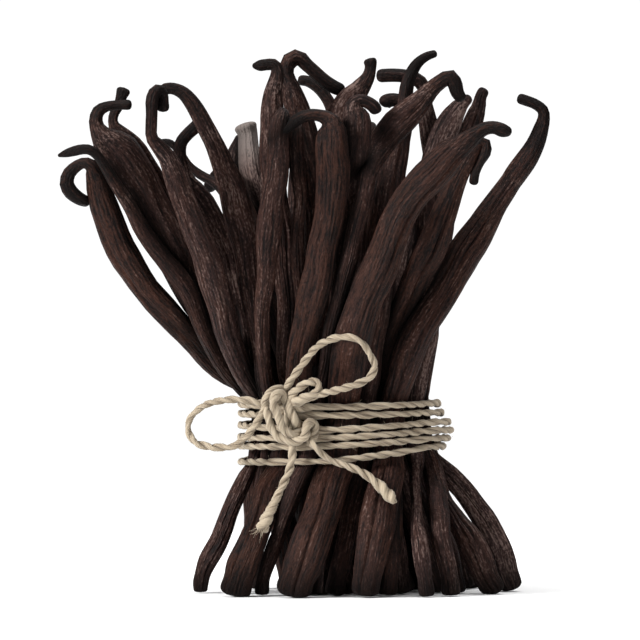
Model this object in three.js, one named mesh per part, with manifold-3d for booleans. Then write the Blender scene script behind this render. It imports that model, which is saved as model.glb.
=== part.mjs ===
// A bundle of dried vanilla pods, tied at the waist with twine and standing on its cut feet.
// Millimetres, +Z up. The origin is on the ground under the middle of the waist, and the knot faces -Y.

import * as THREE from "three";
import { mergeVertices } from "three/addons/utils/BufferGeometryUtils.js";
import Module from "manifold-3d";

const wasm = await Module();
wasm.setup();

// ---- Driving dimensions ----

const GAP = 0.3; // clearance that touching pieces keep
const RIDGE_SLACK = 0.2; // more, where the ridges of the band and of its grown copy lie at different heights
const WELD = 1e-3; // points nearer than this are one

// The pods cross the waist on ovals round its middle, each given by its half-axes along X and Y.
const WAIST = { height: 49.5, x: -2.2 };
const OUTER = [25.5, 22.5];
const MIDDLE = [17.5, 14.5];
const INNER = [9, 7.2];
const HEART = [3, 2];

// Through the waist a pod runs nearly upright over this length on each side, leaning this share of its slope.
const STRAIGHT = 9;
const LEAN = 0.3;

// One pod: the facets of those that are seen and of those that fill, and how the width changes.
const SEEN = { sides: 6, bodySteps: 7 };
const FILL = { sides: 5, bodySteps: 5 };
const STEP_ANGLE = 60; // of a stem's bend, degrees
const FLATNESS = 0.86; // thickness over width
const FOOT_SHARE = 0.66; // width of the foot over the full width
const FOOT_LENGTH = 28; // over which the foot widens
const NECK = 4.2; // width where the stem starts
const NECK_LENGTH = 20; // over which the body narrows to the stem
const NECK_LEAD = 12; // of that length, how much comes before the shoulder
const TIP = 3.8; // width of the stem's end
const FOOT_REACH = 4; // the pods' length below the ground, which the flat cut takes off

// The packed middle of the bundle: height, middle X and Y, half-axes.
const CORE_SIDES = 14;
const CORE = [
  [-6, 4, 0, 32, 27],
  [22, 1, 0, 28, 24],
  [WAIST.height, -1.5, 0, 27.5, 24.5],
  [72, -2.5, 1, 28, 25.5],
  [98, -5, 4, 26, 27],
  [112, -5, 7, 20, 22],
];

// Twine: six turns round the waist, then a knot with three loops and two tails.
const TWINE = 2.5; // diameter
const TWINE_SIDES = 8;
const TURNS = 6;
const VALLEY = TWINE / 3; // depth between two turns
const WRAP = { x: -0.4, halfX: 30.6, halfY: 27.2, low: 40, high: 60, sides: 20 };
const GROOVE_REACH = 12; // how far out of the waist nothing but twine may be, at the turns' heights
const KNOT = { middle: [-17.8, -29.4, 55], halfX: 7.4, halfY: 4.6, halfZ: 10, tilt: 24, facets: [12, 8] };
const TWINE_STEP = 7; // length of a loop's or tail's step

const COLOURS = { pods: 0x2b1b17, twine: 0xcdbd9c };
const ROUGHNESS = { pods: 0.5, twine: 0.9 };

// ---- The pods ----

// Where a pod crosses the waist: an oval and an angle on it, from +X round by +Y, in degrees.
function at([halfX, halfY], angle) {
  const turn = THREE.MathUtils.degToRad(angle);
  return new THREE.Vector3(WAIST.x + halfX * Math.cos(turn), halfY * Math.sin(turn), WAIST.height);
}

// A stem: the way it bends on the compass (0 is +X, 90 is +Y), by how much and how tightly, and its
// straight lengths before and after the bend.
function stem(heading, bend, radius, before, after) {
  return { heading, bend, radius, before, after };
}

// A pod: its crossing, the foot on the ground, the fullest place of its upper half, the shoulder where the
// stem starts, the stem, its width, and sometimes a knee between foot and waist.
function pod(tie, foot, belly, shoulder, itsStem, width, knee) {
  const route = [new THREE.Vector3(...foot, 0)];
  if (knee) route.push(new THREE.Vector3(...knee));
  const above = new THREE.Vector3(...belly);
  for (const end of [route[0], above]) {
    const run = end.clone().sub(tie);
    run.multiplyScalar(STRAIGHT / Math.abs(run.z));
    run.x *= LEAN;
    run.y *= LEAN;
    route.push(run.add(tie));
  }
  route.push(above, new THREE.Vector3(...shoulder));
  return { route, stem: itsStem, width };
}

// The pods that can be seen, group by group.
const LEFT = [
  pod(
    at(OUTER, 150), [-17, 31], [-64.5, -14, 99.5], [-76.5, -30, 127],
    stem(180, 262, 5.2, 0, 1), 9.4,
  ),
  pod(at(OUTER, 169), [-27, 19], [-51, -18, 99], [-76, -40, 136], stem(180, 90, 2.6, 2, 9), 7.6),
  pod(at(MIDDLE, 172), [2.5, -4], [-55, -16, 111.5], [-72.5, -30, 141], stem(0, 118, 4.2, 5, 9), 14.4),
  pod(at(MIDDLE, 150), [17, 20], [-59.5, 4, 113.5], [-69.5, -8, 143.5], stem(0, 34, 10, 5, 4), 9),
  pod(
    at(OUTER, 187), [-44, -8], [-47.5, -33, 118], [-57.5, -40, 143],
    stem(0, 186, 2.8, 11.5, 5), 10.8, [-37, -8, 19],
  ),
  pod(at(MIDDLE, 195), [0.5, 6], [-38, -8, 107], [-50.5, -14, 133.5], stem(0, 50, 4, 5, 8), 9),
  pod(at(INNER, 190), [21, 24], [-26, 18, 101], [-36.5, 26, 125.5], stem(180, 38, 8, 4, 20), 7.5),
  pod(
    at(MIDDLE, 215), [-4.5, -10], [-33, -22, 107], [-39.5, -26, 140.5],
    stem(180, 100, 13, 4, 3), 7.6,
  ),
];
const FRONT = [
  pod(at(OUTER, 206), [-31.5, -14], [-23.5, -38, 107], [-20, -42, 145], stem(80, 120, 3, 1, 6), 6.9),
  pod(at(MIDDLE, 255), [-13.5, -26], [-15, -30, 107], [-13.5, -36, 141], stem(60, 70, 5, 2, 6), 6),
  pod(
    at(OUTER, 226), [-33.5, -31], [-7, -38, 107], [-2, -44, 140.5],
    stem(180, 190, 6.6, 0, 2), 11.4, [-26, -27, 22.5],
  ),
  pod(
    at(MIDDLE, 238), [-10.5, -18], [-23, -26, 116.5], [-21, -26, 153.5],
    stem(180, 96, 2.8, 8, 6), 8.6,
  ),
  pod(at(INNER, 225), [5, 6], [-17.5, -14, 123], [-16, -12, 159], stem(0, 128, 3, 6, 17), 7.6),
  pod(at(MIDDLE, 272), [-8, -20], [2, -32, 116.5], [4, -38, 147], stem(0, 176, 3.4, 0, 2), 9),
  pod(at(INNER, 270), [-3, -2], [0, -14, 123], [5.5, -14, 156], stem(20, 6, 8, 9, 0), 9.6),
  pod(at(OUTER, 246), [-25.5, -28], [9, -32, 138], [21, -26, 154], stem(0, 104, 3, 9, 9), 9),
  pod(at(MIDDLE, 292), [-4, -28], [13, -22, 122.5], [17, -14, 150], stem(0, 66, 6.5, 9, 5), 8.6),
  pod(
    at(OUTER, 262), [-16, -38], [13, -42, 107], [34, -46, 138.5],
    stem(0, 74, 9, 3, 9), 12, [-9, -33, 22.5],
  ),
];
const RIGHT = [
  pod(at(OUTER, 284), [7.5, -37], [26, -34, 107], [36, -30, 137], stem(0, 172, 3.1, 3, 12), 10.2),
  pod(at(OUTER, 303), [15.5, -30], [23.5, -16, 107], [32, -12, 136], stem(0, 40, 6, 3, 6), 9),
  pod(at(OUTER, 323), [24.5, -36], [38, -22, 107], [59, -14, 141], stem(180, 112, 2.8, 6, 8), 10),
  pod(at(OUTER, 343), [32.5, -29], [31.5, -4, 116.5], [41, 2, 147.5], stem(20, 4, 8, 9, 0), 8.6),
  pod(at(OUTER, 2), [46.5, -16], [25.5, 2, 123], [34, 4, 147], stem(0, 30, 8, 3, 5), 8.4),
  pod(at(MIDDLE, 315), [17.5, -16], [23.5, -8, 123], [27, -4, 150], stem(180, 88, 3.6, 5, 14), 8),
  pod(at(MIDDLE, 338), [30, -8], [16.5, 12, 123], [20.5, 14, 149], stem(180, 120, 3.2, 0, 3), 7.6),
];
const BACK = [
  pod(at(INNER, 90), [24, 20], [-1, 34, 123.5], [-3.5, 40, 151], stem(180, 62, 9, 1, 3), 8),
  pod(
    at(OUTER, 18), [54, 2], [-14, 28, 104], [-30.5, 42, 139.5],
    stem(90, 4, 8, 6, 0), 8.6, [46.5, -2, 20],
  ),
  pod(at(OUTER, 38), [51, 14], [-18.5, 34, 104], [-35, 45, 136.5], stem(90, 40, 6, 2, 5), 8),
];

// The pods that fill the middle and the back, by where they cross the waist.
const FILL_CROSSINGS = [
  ...[56, 75, 94, 113, 132].map((angle) => [OUTER, angle]),
  ...[2, 26, 50, 75, 100, 126].map((angle) => [MIDDLE, angle]),
  ...[0, 45, 135, 315].map((angle) => [INNER, angle]),
  ...[90, 270].map((angle) => [HEART, angle]),
];

// An outer fill pod leans out the way it crosses the waist, its top turned one way round and its foot the
// other, as in any twisted sheaf: it reaches these ovals, each given by its middle and its half-axes.
const FEET = { x: 4.5, y: 0, halfX: 46, halfY: 38, turn: -20 };
const BELLIES = { x: 2, y: 7, halfX: 26, halfY: 25, z: 92, turn: 16 };
const SHOULDERS = { x: 0, y: 12, halfX: 34, halfY: 34, z: 128, turn: 16 };

// Between these angles the tops turn and reach further, and the bellies this share of it.
const FANNED = { from: 90, to: 180, turn: 0.65, reach: 0.45, bellyShare: 0.7 };

// What differs from one fill pod to the next: degrees, then heights, and the ranges of its stem and width.
const UNEVEN = { footTurn: 12, topTurn: 10, heading: 60, belly: 10, shoulder: 18 };
const FILL_STEM = { bend: [40, 170], radius: [3, 7], before: [2, 8], after: [3, 9] };
const FILL_WIDTH = [8, 11];

// Values from 0 to 1 that never settle into a pattern.
function scatter(i) {
  return [0.2 + 0.618034 * i, 0.4 + 0.754878 * i, 0.1 + 0.56984 * i].map((value) => value % 1);
}

// A value in a range, by its share of the way up.
function between([low, high], share) {
  return THREE.MathUtils.lerp(low, high, share);
}

// A place on an oval, with its X half-axis made longer and both then shrunk to a share.
function onOval(oval, angle, share, further) {
  const turn = THREE.MathUtils.degToRad(angle + oval.turn);
  const x = oval.x + (oval.halfX + further) * share * Math.cos(turn);
  const y = oval.y + oval.halfY * share * Math.sin(turn);
  return [x, y];
}

// A fill pod, from its crossing and its number.
function fillPod([crossing, angle], i) {
  const [u, v, w] = scatter(i);
  const share = crossing[0] / OUTER[0]; // how far out in the bundle
  const spread = Math.sqrt(share); // which gives every top about the same room
  const fanned = angle < FANNED.to ? Math.max(angle - FANNED.from, 0) : 0;
  const further = FANNED.reach * fanned;
  const top = angle + FANNED.turn * fanned + UNEVEN.topTurn * (u - 0.5);
  const foot = onOval(FEET, angle + UNEVEN.footTurn * (v - 0.5), share, 0);
  const belly = onOval(BELLIES, top, spread, FANNED.bellyShare * further);
  belly.push(BELLIES.z + UNEVEN.belly * u);
  const shoulder = onOval(SHOULDERS, top, spread, further);
  shoulder.push(SHOULDERS.z + UNEVEN.shoulder * w);
  const { bend, radius, before, after } = FILL_STEM;
  const heading = top + SHOULDERS.turn + UNEVEN.heading * (v - 0.5);
  const itsStem = stem(heading, between(bend, v), between(radius, w), between(before, u), between(after, w));
  return pod(at(crossing, angle), foot, belly, shoulder, itsStem, between(FILL_WIDTH, w));
}

// ---- Pod geometry ----

// The centre line as points: the body's smooth curve, then the stem's straight, bend and straight.
function centreLine({ route, stem: { heading, bend, radius, before, after } }, bodySteps) {
  const points = new THREE.CatmullRomCurve3(route).getSpacedPoints(bodySteps);
  const shoulder = points.at(-1);
  const along = shoulder.clone().sub(route.at(-2)).normalize();
  const turn = THREE.MathUtils.degToRad(heading);
  const inward = new THREE.Vector3(Math.cos(turn), Math.sin(turn), 0).projectOnPlane(along).normalize();
  const start = shoulder.clone().addScaledVector(along, before);
  if (before > 0) points.push(start);
  const steps = Math.max(1, Math.ceil(bend / STEP_ANGLE));
  for (let i = 1; i <= steps; i += 1) {
    const angle = THREE.MathUtils.degToRad((bend * i) / steps);
    const p = start.clone().addScaledVector(along, radius * Math.sin(angle));
    points.push(p.addScaledVector(inward, radius * (1 - Math.cos(angle))));
  }
  const last = THREE.MathUtils.degToRad(bend);
  const direction = along.multiplyScalar(Math.cos(last)).addScaledVector(inward, Math.sin(last));
  if (after > 0) points.push(points.at(-1).clone().addScaledVector(direction, after));
  return points;
}

// Half the width at a distance along the pod: a slim foot, a full body, a neck, then the even stem.
function halfWidth(distance, length, bodyLength, width) {
  const foot = THREE.MathUtils.mapLinear(Math.min(distance, FOOT_LENGTH), 0, FOOT_LENGTH, FOOT_SHARE, 1);
  const neckStart = bodyLength - NECK_LEAD;
  const neck = THREE.MathUtils.smoothstep(distance, neckStart, neckStart + NECK_LENGTH);
  const stemWidth = THREE.MathUtils.lerp(NECK, TIP, distance / length);
  return THREE.MathUtils.lerp(foot * width, stemWidth, neck) / 2;
}

// Rings across a line of points. Each ring's wide side starts square to the way out of the bundle and then
// turns no more than the line makes it.
function ringsAlong(points, halfWidthAt, flatness) {
  const outward = new THREE.Vector3(points[0].x, points[0].y, 0);
  const side = new THREE.Vector3(-outward.y, outward.x, 0);
  let distance = 0;
  return points.map((centre, i) => {
    const before = points[Math.max(i - 1, 0)];
    const after = points[Math.min(i + 1, points.length - 1)];
    const along = after.clone().sub(before).normalize();
    distance += centre.distanceTo(before);
    side.projectOnPlane(along).normalize();
    const half = halfWidthAt(distance);
    const front = side.clone().cross(along).multiplyScalar(half * flatness);
    return { centre, side: side.clone().multiplyScalar(half), front };
  });
}

// A closed solid through oval rings. A lathe's straight cylinder gives the faces, and each of its rings is
// then moved to its own place.
function loft(rings, sides) {
  const stations = [rings[0], ...rings, rings.at(-1)];
  const profile = stations.map((_, i) => new THREE.Vector2(i === 0 || i === stations.length - 1 ? 0 : 1, i));
  const geometry = new THREE.LatheGeometry(profile, sides);
  const position = geometry.getAttribute("position");
  for (let i = 0; i < position.count; i += 1) {
    const { centre, side, front } = stations[i % stations.length];
    const p = centre.clone().addScaledVector(side, position.getX(i));
    p.addScaledVector(front, position.getZ(i));
    position.setXYZ(i, p.x, p.y, p.z);
  }
  return geometry;
}

function podGeometry(itsPod, { sides, bodySteps }) {
  const points = centreLine(itsPod, bodySteps);
  const lengths = points.map((p, i) => (i ? p.distanceTo(points[i - 1]) : 0));
  const total = (list) => list.reduce((sum, value) => sum + value, 0);
  const length = total(lengths);
  const bodyLength = total(lengths.slice(0, bodySteps + 1));
  const halfWidthAt = (distance) => halfWidth(distance, length, bodyLength, itsPod.width);
  const rings = ringsAlong(points, halfWidthAt, FLATNESS);
  const below = points[0].clone().sub(points[1]).setLength(FOOT_REACH);
  rings.unshift({ ...rings[0], centre: below.add(points[0]) });
  return loft(rings, sides);
}

function coreGeometry() {
  const rings = CORE.map(([z, x, y, halfX, halfY]) => ({
    centre: new THREE.Vector3(x, y, z),
    side: new THREE.Vector3(halfX, 0, 0),
    front: new THREE.Vector3(0, -halfY, 0),
  }));
  return loft(rings, CORE_SIDES);
}

// ---- Solids: joining and cutting ----

function solidOf(geometry) {
  const bare = geometry.clone();
  bare.deleteAttribute("normal");
  bare.deleteAttribute("uv");
  const merged = mergeVertices(bare, WELD);
  const vertProperties = new Float32Array(merged.getAttribute("position").array);
  const triVerts = new Uint32Array(merged.index.array);
  return new wasm.Manifold(new wasm.Mesh({ numProp: 3, vertProperties, triVerts }));
}

function geometryOf(solid) {
  const { vertProperties, triVerts } = solid.getMesh();
  const geometry = new THREE.BufferGeometry();
  geometry.setAttribute("position", new THREE.BufferAttribute(vertProperties, 3));
  geometry.setIndex(new THREE.BufferAttribute(triVerts, 1));
  geometry.computeVertexNormals();
  return geometry;
}

// ---- The twine ----

// The turns round the waist: one closed band with a rounded ridge for each turn, oval as the waist is.
function wrapGeometry(grow = 0) {
  const low = WRAP.low - grow;
  const high = WRAP.high + grow;
  const inner = WRAP.halfX - grow;
  const outer = WRAP.halfX + TWINE + grow;
  const pitch = (high - low) / TURNS;
  const valley = outer - VALLEY;
  const profile = [new THREE.Vector2(inner, low), new THREE.Vector2(valley, low)];
  for (let turn = 0; turn < TURNS; turn += 1) {
    profile.push(new THREE.Vector2(outer, low + (turn + 0.5) * pitch));
    profile.push(new THREE.Vector2(valley, low + (turn + 1) * pitch));
  }
  profile.push(new THREE.Vector2(inner, high), new THREE.Vector2(inner, low));
  return waistRing(profile);
}

// The room that the band takes from the pods.
function grooveGeometry() {
  const low = WRAP.low - GAP;
  const high = WRAP.high + GAP;
  const inner = WRAP.halfX - GAP;
  const outer = WRAP.halfX + GROOVE_REACH;
  const corners = [[inner, low], [outer, low], [outer, high], [inner, high], [inner, low]];
  return waistRing(corners.map(([radius, z]) => new THREE.Vector2(radius, z)));
}

// A ring round the waist from a closed profile of radius and height, squeezed to the waist's oval.
function waistRing(profile) {
  const geometry = new THREE.LatheGeometry(profile, WRAP.sides);
  geometry.rotateX(Math.PI / 2);
  geometry.scale(1, WRAP.halfY / WRAP.halfX, 1);
  geometry.translate(WRAP.x, 0, 0);
  return geometry;
}

function knotGeometry(grow = 0) {
  const geometry = new THREE.SphereGeometry(1, ...KNOT.facets);
  geometry.scale(KNOT.halfX + grow, KNOT.halfY + grow, KNOT.halfZ + grow);
  geometry.rotateY(THREE.MathUtils.degToRad(-KNOT.tilt));
  geometry.rotateZ(THREE.MathUtils.degToRad(-KNOT.tilt));
  geometry.translate(...KNOT.middle);
  return geometry;
}

// Where the free stretches run, from the knot out and, for a loop, back into it.
const TWINE_ROUTES = {
  twine_loop_left: [
    [-22, -28.5, 58.5],
    [-29.8, -27.4, 60.6],
    [-34.1, -26.4, 60.9],
    [-38.8, -25, 60.4],
    [-42.8, -23.5, 59.3],
    [-46, -22, 57.1],
    [-48.2, -21.5, 54.1],
    [-48.2, -21.5, 50.4],
    [-46.3, -22, 47.6],
    [-42.5, -23, 46.3],
    [-38.2, -24.5, 46],
    [-34.1, -26.4, 46.5],
    [-31, -28, 48.7],
    [-27.4, -29, 53.2],
    [-22, -29, 57.6],
  ],
  twine_loop_top: [
    [-19.4, -29, 60],
    [-16.6, -31.5, 66.9],
    [-14, -32.5, 70.5],
    [-11.2, -34, 74.2],
    [-8.1, -36, 77.6],
    [-3.5, -39, 79.9],
    [1.4, -41.4, 80.4],
    [5.1, -41.4, 78.9],
    [7.7, -39.5, 75.2],
    [9.3, -37.5, 71.2],
    [7.6, -37, 67.8],
    [3.9, -37.3, 65.9],
    [-1, -37, 64.4],
    [-6, -35.5, 63.1],
    [-10.6, -33.5, 61.7],
    [-16, -30.5, 59.1],
  ],
  twine_loop_small: [
    [-17.5, -31.5, 57.5],
    [-15.4, -35.9, 63.8],
    [-13, -36.9, 65.9],
    [-10.3, -37.3, 66.9],
    [-8, -37.5, 66.2],
    [-8.1, -37.7, 63.7],
    [-10.7, -37.3, 61.8],
    [-15.6, -31.5, 56.4],
  ],
  twine_tail_left: [
    [-16.8, -30.5, 49],
    [-16.1, -32.2, 43.6],
    [-16.5, -32, 40.4],
    [-17.8, -32, 37.1],
    [-19.8, -33, 32.8],
    [-21.7, -34.5, 28.9],
    [-23.7, -36, 24.9],
    [-25.7, -37, 20.7],
  ],
  twine_tail_right: [
    [-13.4, -31, 49.4],
    [-8.7, -32.8, 46.1],
    [-2.6, -32.6, 41.8],
    [1.1, -32.6, 40.4],
    [5.5, -32.6, 38.5],
    [9.5, -33, 35.6],
    [12.9, -34.2, 32.4],
    [15.6, -35.5, 29.2],
  ],
};

function tubeGeometry(route) {
  const curve = new THREE.CatmullRomCurve3(route.map((p) => new THREE.Vector3(...p)));
  const corners = Array.from({ length: TWINE_SIDES }, (_, i) => {
    const angle = (2 * Math.PI * i) / TWINE_SIDES;
    return new THREE.Vector2(Math.cos(angle), Math.sin(angle)).multiplyScalar(TWINE / 2);
  });
  return new THREE.ExtrudeGeometry(new THREE.Shape(corners), {
    extrudePath: curve,
    steps: Math.round(curve.getLength() / TWINE_STEP),
  });
}

// ---- The finished object ----

const GROUND = { size: 400, depth: 50 };

const wrapClearance = solidOf(wrapGeometry(GAP + RIDGE_SLACK));
const knotClearance = solidOf(knotGeometry(GAP));

function podBundle() {
  const seen = [...LEFT, ...FRONT, ...RIGHT, ...BACK].map((one) => podGeometry(one, SEEN));
  const fill = FILL_CROSSINGS.map(fillPod).map((one) => podGeometry(one, FILL));
  const joined = [...seen, ...fill].reduce((solid, one) => solid.add(solidOf(one)), solidOf(coreGeometry()));
  const ground = new THREE.BoxGeometry(GROUND.size, GROUND.size, GROUND.depth);
  ground.translate(0, 0, -GROUND.depth / 2);
  return joined.subtract(solidOf(ground)).subtract(solidOf(grooveGeometry())).subtract(knotClearance);
}

function material(colour, roughness) {
  return new THREE.MeshStandardMaterial({ color: colour, roughness, metalness: 0 });
}

const podMaterial = material(COLOURS.pods, ROUGHNESS.pods);
const twineMaterial = material(COLOURS.twine, ROUGHNESS.twine);

const group = new THREE.Group();

function addPiece(name, solid, itsMaterial) {
  const mesh = new THREE.Mesh(geometryOf(solid), itsMaterial);
  mesh.name = name;
  group.add(mesh);
}

addPiece("pod_bundle", podBundle(), podMaterial);
addPiece("twine_wraps", solidOf(wrapGeometry()), twineMaterial);
addPiece("twine_knot", solidOf(knotGeometry()).subtract(wrapClearance), twineMaterial);
for (const [name, route] of Object.entries(TWINE_ROUTES)) {
  addPiece(name, solidOf(tubeGeometry(route)).subtract(knotClearance), twineMaterial);
}

export default group;
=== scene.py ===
"""A tied bundle of dried vanilla pods, laid out as an add-on and run as a script.

Every pod is a surface carried along its own bent line, pressed flat where it meets its neighbours and the
twine. The twine is one length of two-ply twist that winds six times round the waist and is tied in a bow.
"""

import math

import bpy
import numpy as np
from bpy.props import FloatProperty, FloatVectorProperty, IntProperty, PointerProperty
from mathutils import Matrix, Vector


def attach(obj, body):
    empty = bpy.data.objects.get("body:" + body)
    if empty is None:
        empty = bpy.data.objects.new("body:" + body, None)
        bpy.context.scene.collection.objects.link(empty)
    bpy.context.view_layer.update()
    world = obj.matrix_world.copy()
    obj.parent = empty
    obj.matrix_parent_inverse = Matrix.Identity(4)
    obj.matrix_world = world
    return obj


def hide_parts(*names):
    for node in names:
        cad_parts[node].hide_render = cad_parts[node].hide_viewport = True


bl_info = {
    "name": "Vanilla Pod Bundle",
    "version": (1, 0, 0),
    "blender": (4, 5, 0),
    "location": "3D View > Sidebar > Vanilla",
    "description": "Builds a tied bundle of dried vanilla pods round its frame",
    "category": "Object",
}

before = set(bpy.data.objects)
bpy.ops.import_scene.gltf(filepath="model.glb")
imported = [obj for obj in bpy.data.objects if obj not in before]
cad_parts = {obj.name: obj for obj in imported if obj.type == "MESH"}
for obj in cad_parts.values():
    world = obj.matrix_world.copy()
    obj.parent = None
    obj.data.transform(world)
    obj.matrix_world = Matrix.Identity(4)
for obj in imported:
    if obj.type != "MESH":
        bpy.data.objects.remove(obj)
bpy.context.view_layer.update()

MM = 0.001
BODY = "root"

# ---- Driving dimensions, in metres ----

# The filling pods cross the waist on ovals round its middle, each given by its half-axes along X and Y.
WAIST_HEIGHT = 0.0495
WAIST_X = -0.0022
OUTER = (0.0255, 0.0225)
MIDDLE = (0.0175, 0.0145)
INNER = (0.009, 0.0072)
HEART = (0.003, 0.002)

# The oval that the twine's middle follows round the waist, and the lowest and highest turn.
WRAP_X = -0.0004
WRAP_HALF = (0.03205, 0.02865)
WRAP_LOW = 0.0408
LOW_RISE = 0.0038  # from the left to the right
WRAP_HIGH = 0.0594


# ---- Small tools on arrays ----


def smooth(value, low, high):
    """Goes from 0 at low to 1 at high with level ends: t squared times (3 - 2t)."""
    t = np.clip((value - low) / (high - low), 0, 1)
    return t * t * (3 - 2 * t)


def unit(vectors):
    """Each vector over its own length."""
    return vectors / np.linalg.norm(vectors, axis=-1, keepdims=True)


def distances(points):
    """How far along a line of points each one is."""
    steps = np.linalg.norm(np.diff(points, axis=0), axis=1)
    return np.concatenate([[0], np.cumsum(steps)])


def resampled(points, at):
    """The places on a line of points at the given distances along it."""
    along = distances(points)
    return np.stack([np.interp(at, along, points[:, axis]) for axis in range(3)], axis=1)


def curve_through(route, count):
    """A centripetal Catmull-Rom curve: between two points it is the cubic whose end slopes come from the
    neighbours on each side, weighed by the square roots of the gaps."""
    p = np.asarray(route, float)
    p = np.vstack([2 * p[0] - p[1], p, 2 * p[-1] - p[-2]])
    gaps = np.sqrt(np.linalg.norm(np.diff(p[:, :3], axis=0), axis=1))
    u = np.linspace(0, len(route) - 1, count)
    i = np.minimum(u.astype(int), len(route) - 2)
    w = (u - i)[:, None]
    p0, p1, p2, p3 = p[i], p[i + 1], p[i + 2], p[i + 3]
    g0, g1, g2 = gaps[i][:, None], gaps[i + 1][:, None], gaps[i + 2][:, None]
    start = ((p1 - p0) / g0 - (p2 - p0) / (g0 + g1) + (p2 - p1) / g1) * g1
    end = ((p2 - p1) / g1 - (p3 - p1) / (g1 + g2) + (p3 - p2) / g2) * g1
    square = 3 * (p2 - p1) - 2 * start - end
    cube = 2 * (p1 - p2) + start + end
    return p1 + start * w + square * w**2 + cube * w**3


def frames_along(points, side):
    """The direction of a line at each point and two directions across it, which turn no more than the line
    makes them: each is the one before it with the part along the line taken out."""
    along = unit(np.gradient(points, axis=0))
    sides = np.empty_like(points)
    for i, direction in enumerate(along):
        side = side - direction * (side @ direction)
        side = side / np.linalg.norm(side)
        sides[i] = side
    return along, sides, np.cross(along, sides)


def wave(along, height, lengths, rng):
    """A sum of sines of the given wavelengths with random phases. The first is as high as given, and the
    others as much lower as they are shorter."""
    total = np.zeros_like(along)
    for length in lengths:
        total += length / lengths[0] * np.sin(2 * np.pi * (along / length + rng.random()))
    return height * total


def bell(value, middle, reach):
    """A bell curve: e to minus the square of the distance from the middle, counted in reaches."""
    return np.exp(-(((value - middle) / reach) ** 2))


# ---- Mesh making ----


def rings_round(middles, first, second, u, v):
    """Rings of places round middles: u along the first direction there and v along the second."""
    return middles[:, None] + first[:, None] * u[..., None] + second[:, None] * v[..., None]


def tube_faces(rings, sides, first=0):
    """Four-cornered faces between closed rings of vertices, and three-cornered ones from the first and last
    ring to a middle vertex each, which come after the rings. They face outwards."""
    ring, side = np.meshgrid(np.arange(rings - 1), np.arange(sides), indexing="ij")
    here = ring * sides + side
    beside = ring * sides + (side + 1) % sides
    quads = np.stack([here, beside, beside + sides, here + sides], axis=-1).reshape(-1, 4)
    turn = np.arange(sides)
    after = (turn + 1) % sides
    low, high = rings * sides, rings * sides + 1
    last = (rings - 1) * sides
    start = np.stack([after, turn, np.full(sides, low)], axis=1)
    end = np.stack([last + turn, last + after, np.full(sides, high)], axis=1)
    return quads + first, np.vstack([start, end]) + first


def capped(rings):
    """Ring vertices as one list, with the middles of the first and last ring after them."""
    middles = [rings[0].mean(axis=0), rings[-1].mean(axis=0)]
    return np.vstack([rings.reshape(-1, rings.shape[-1]), middles])


class MeshParts:
    """Collects closed tubes with their vertex attributes, and makes one mesh object of them."""

    def __init__(self, name):
        self.name = name
        self.places, self.quads, self.tris, self.extra = [], [], [], {}
        self.count = 0

    def add_tube(self, rings, **attributes):
        """rings is stations by sides by 3. An attribute is stations by sides, with a last axis of 3 for a
        vector."""
        quads, tris = tube_faces(rings.shape[0], rings.shape[1], self.count)
        places = capped(rings)
        self.places.append(places)
        self.quads.append(quads)
        self.tris.append(tris)
        self.count += len(places)
        for key, values in attributes.items():
            values = values.reshape(*rings.shape[:2], -1)
            self.extra.setdefault(key, []).append(capped(values))

    def make(self, material):
        places = np.vstack(self.places)
        quads, tris = np.vstack(self.quads), np.vstack(self.tris)
        corners = np.concatenate([quads.ravel(), tris.ravel()])
        quad_starts = np.arange(len(quads)) * 4
        tri_starts = len(quads) * 4 + np.arange(len(tris)) * 3
        mesh = bpy.data.meshes.new(self.name)
        mesh.vertices.add(len(places))
        mesh.vertices.foreach_set("co", places.astype(np.float32).ravel())
        mesh.loops.add(len(corners))
        mesh.loops.foreach_set("vertex_index", corners.astype(np.int32))
        mesh.polygons.add(len(quads) + len(tris))
        starts = np.concatenate([quad_starts, tri_starts])
        mesh.polygons.foreach_set("loop_start", starts.astype(np.int32))
        for key, values in self.extra.items():
            values = np.vstack(values)
            vector = values.shape[1] == 3
            kind, field = ("FLOAT_VECTOR", "vector") if vector else ("FLOAT", "value")
            attribute = mesh.attributes.new(key, kind, "POINT")
            attribute.data.foreach_set(field, values.astype(np.float32).ravel())
        mesh.update(calc_edges=True)
        mesh.validate()
        mesh.shade_smooth()
        mesh.materials.append(material)
        piece = bpy.data.objects.new(self.name, mesh)
        bpy.context.scene.collection.objects.link(piece)
        return piece


# ---- Shader maths ----


class Value:
    """A number socket of a shader that Python's arithmetic works on, one Math node for each operation."""

    def __init__(self, graph, socket):
        self.graph = graph
        self.socket = socket

    def math(self, operation, first, second):
        return self.graph.node("ShaderNodeMath", {"operation": operation}, {0: first, 1: second})

    def __add__(self, other):
        return self.math("ADD", self, other)

    def __sub__(self, other):
        return self.math("SUBTRACT", self, other)

    def __rsub__(self, other):
        return self.math("SUBTRACT", other, self)

    def __mul__(self, other):
        return self.math("MULTIPLY", self, other)

    __radd__ = __add__
    __rmul__ = __mul__

    def step(self, low, high):
        """Goes smoothly from 0 at low to 1 at high."""
        settings = {"interpolation_type": "SMOOTHSTEP"}
        sockets = {"Value": self, "From Min": low, "From Max": high}
        return self.graph.node("ShaderNodeMapRange", settings, sockets)


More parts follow.
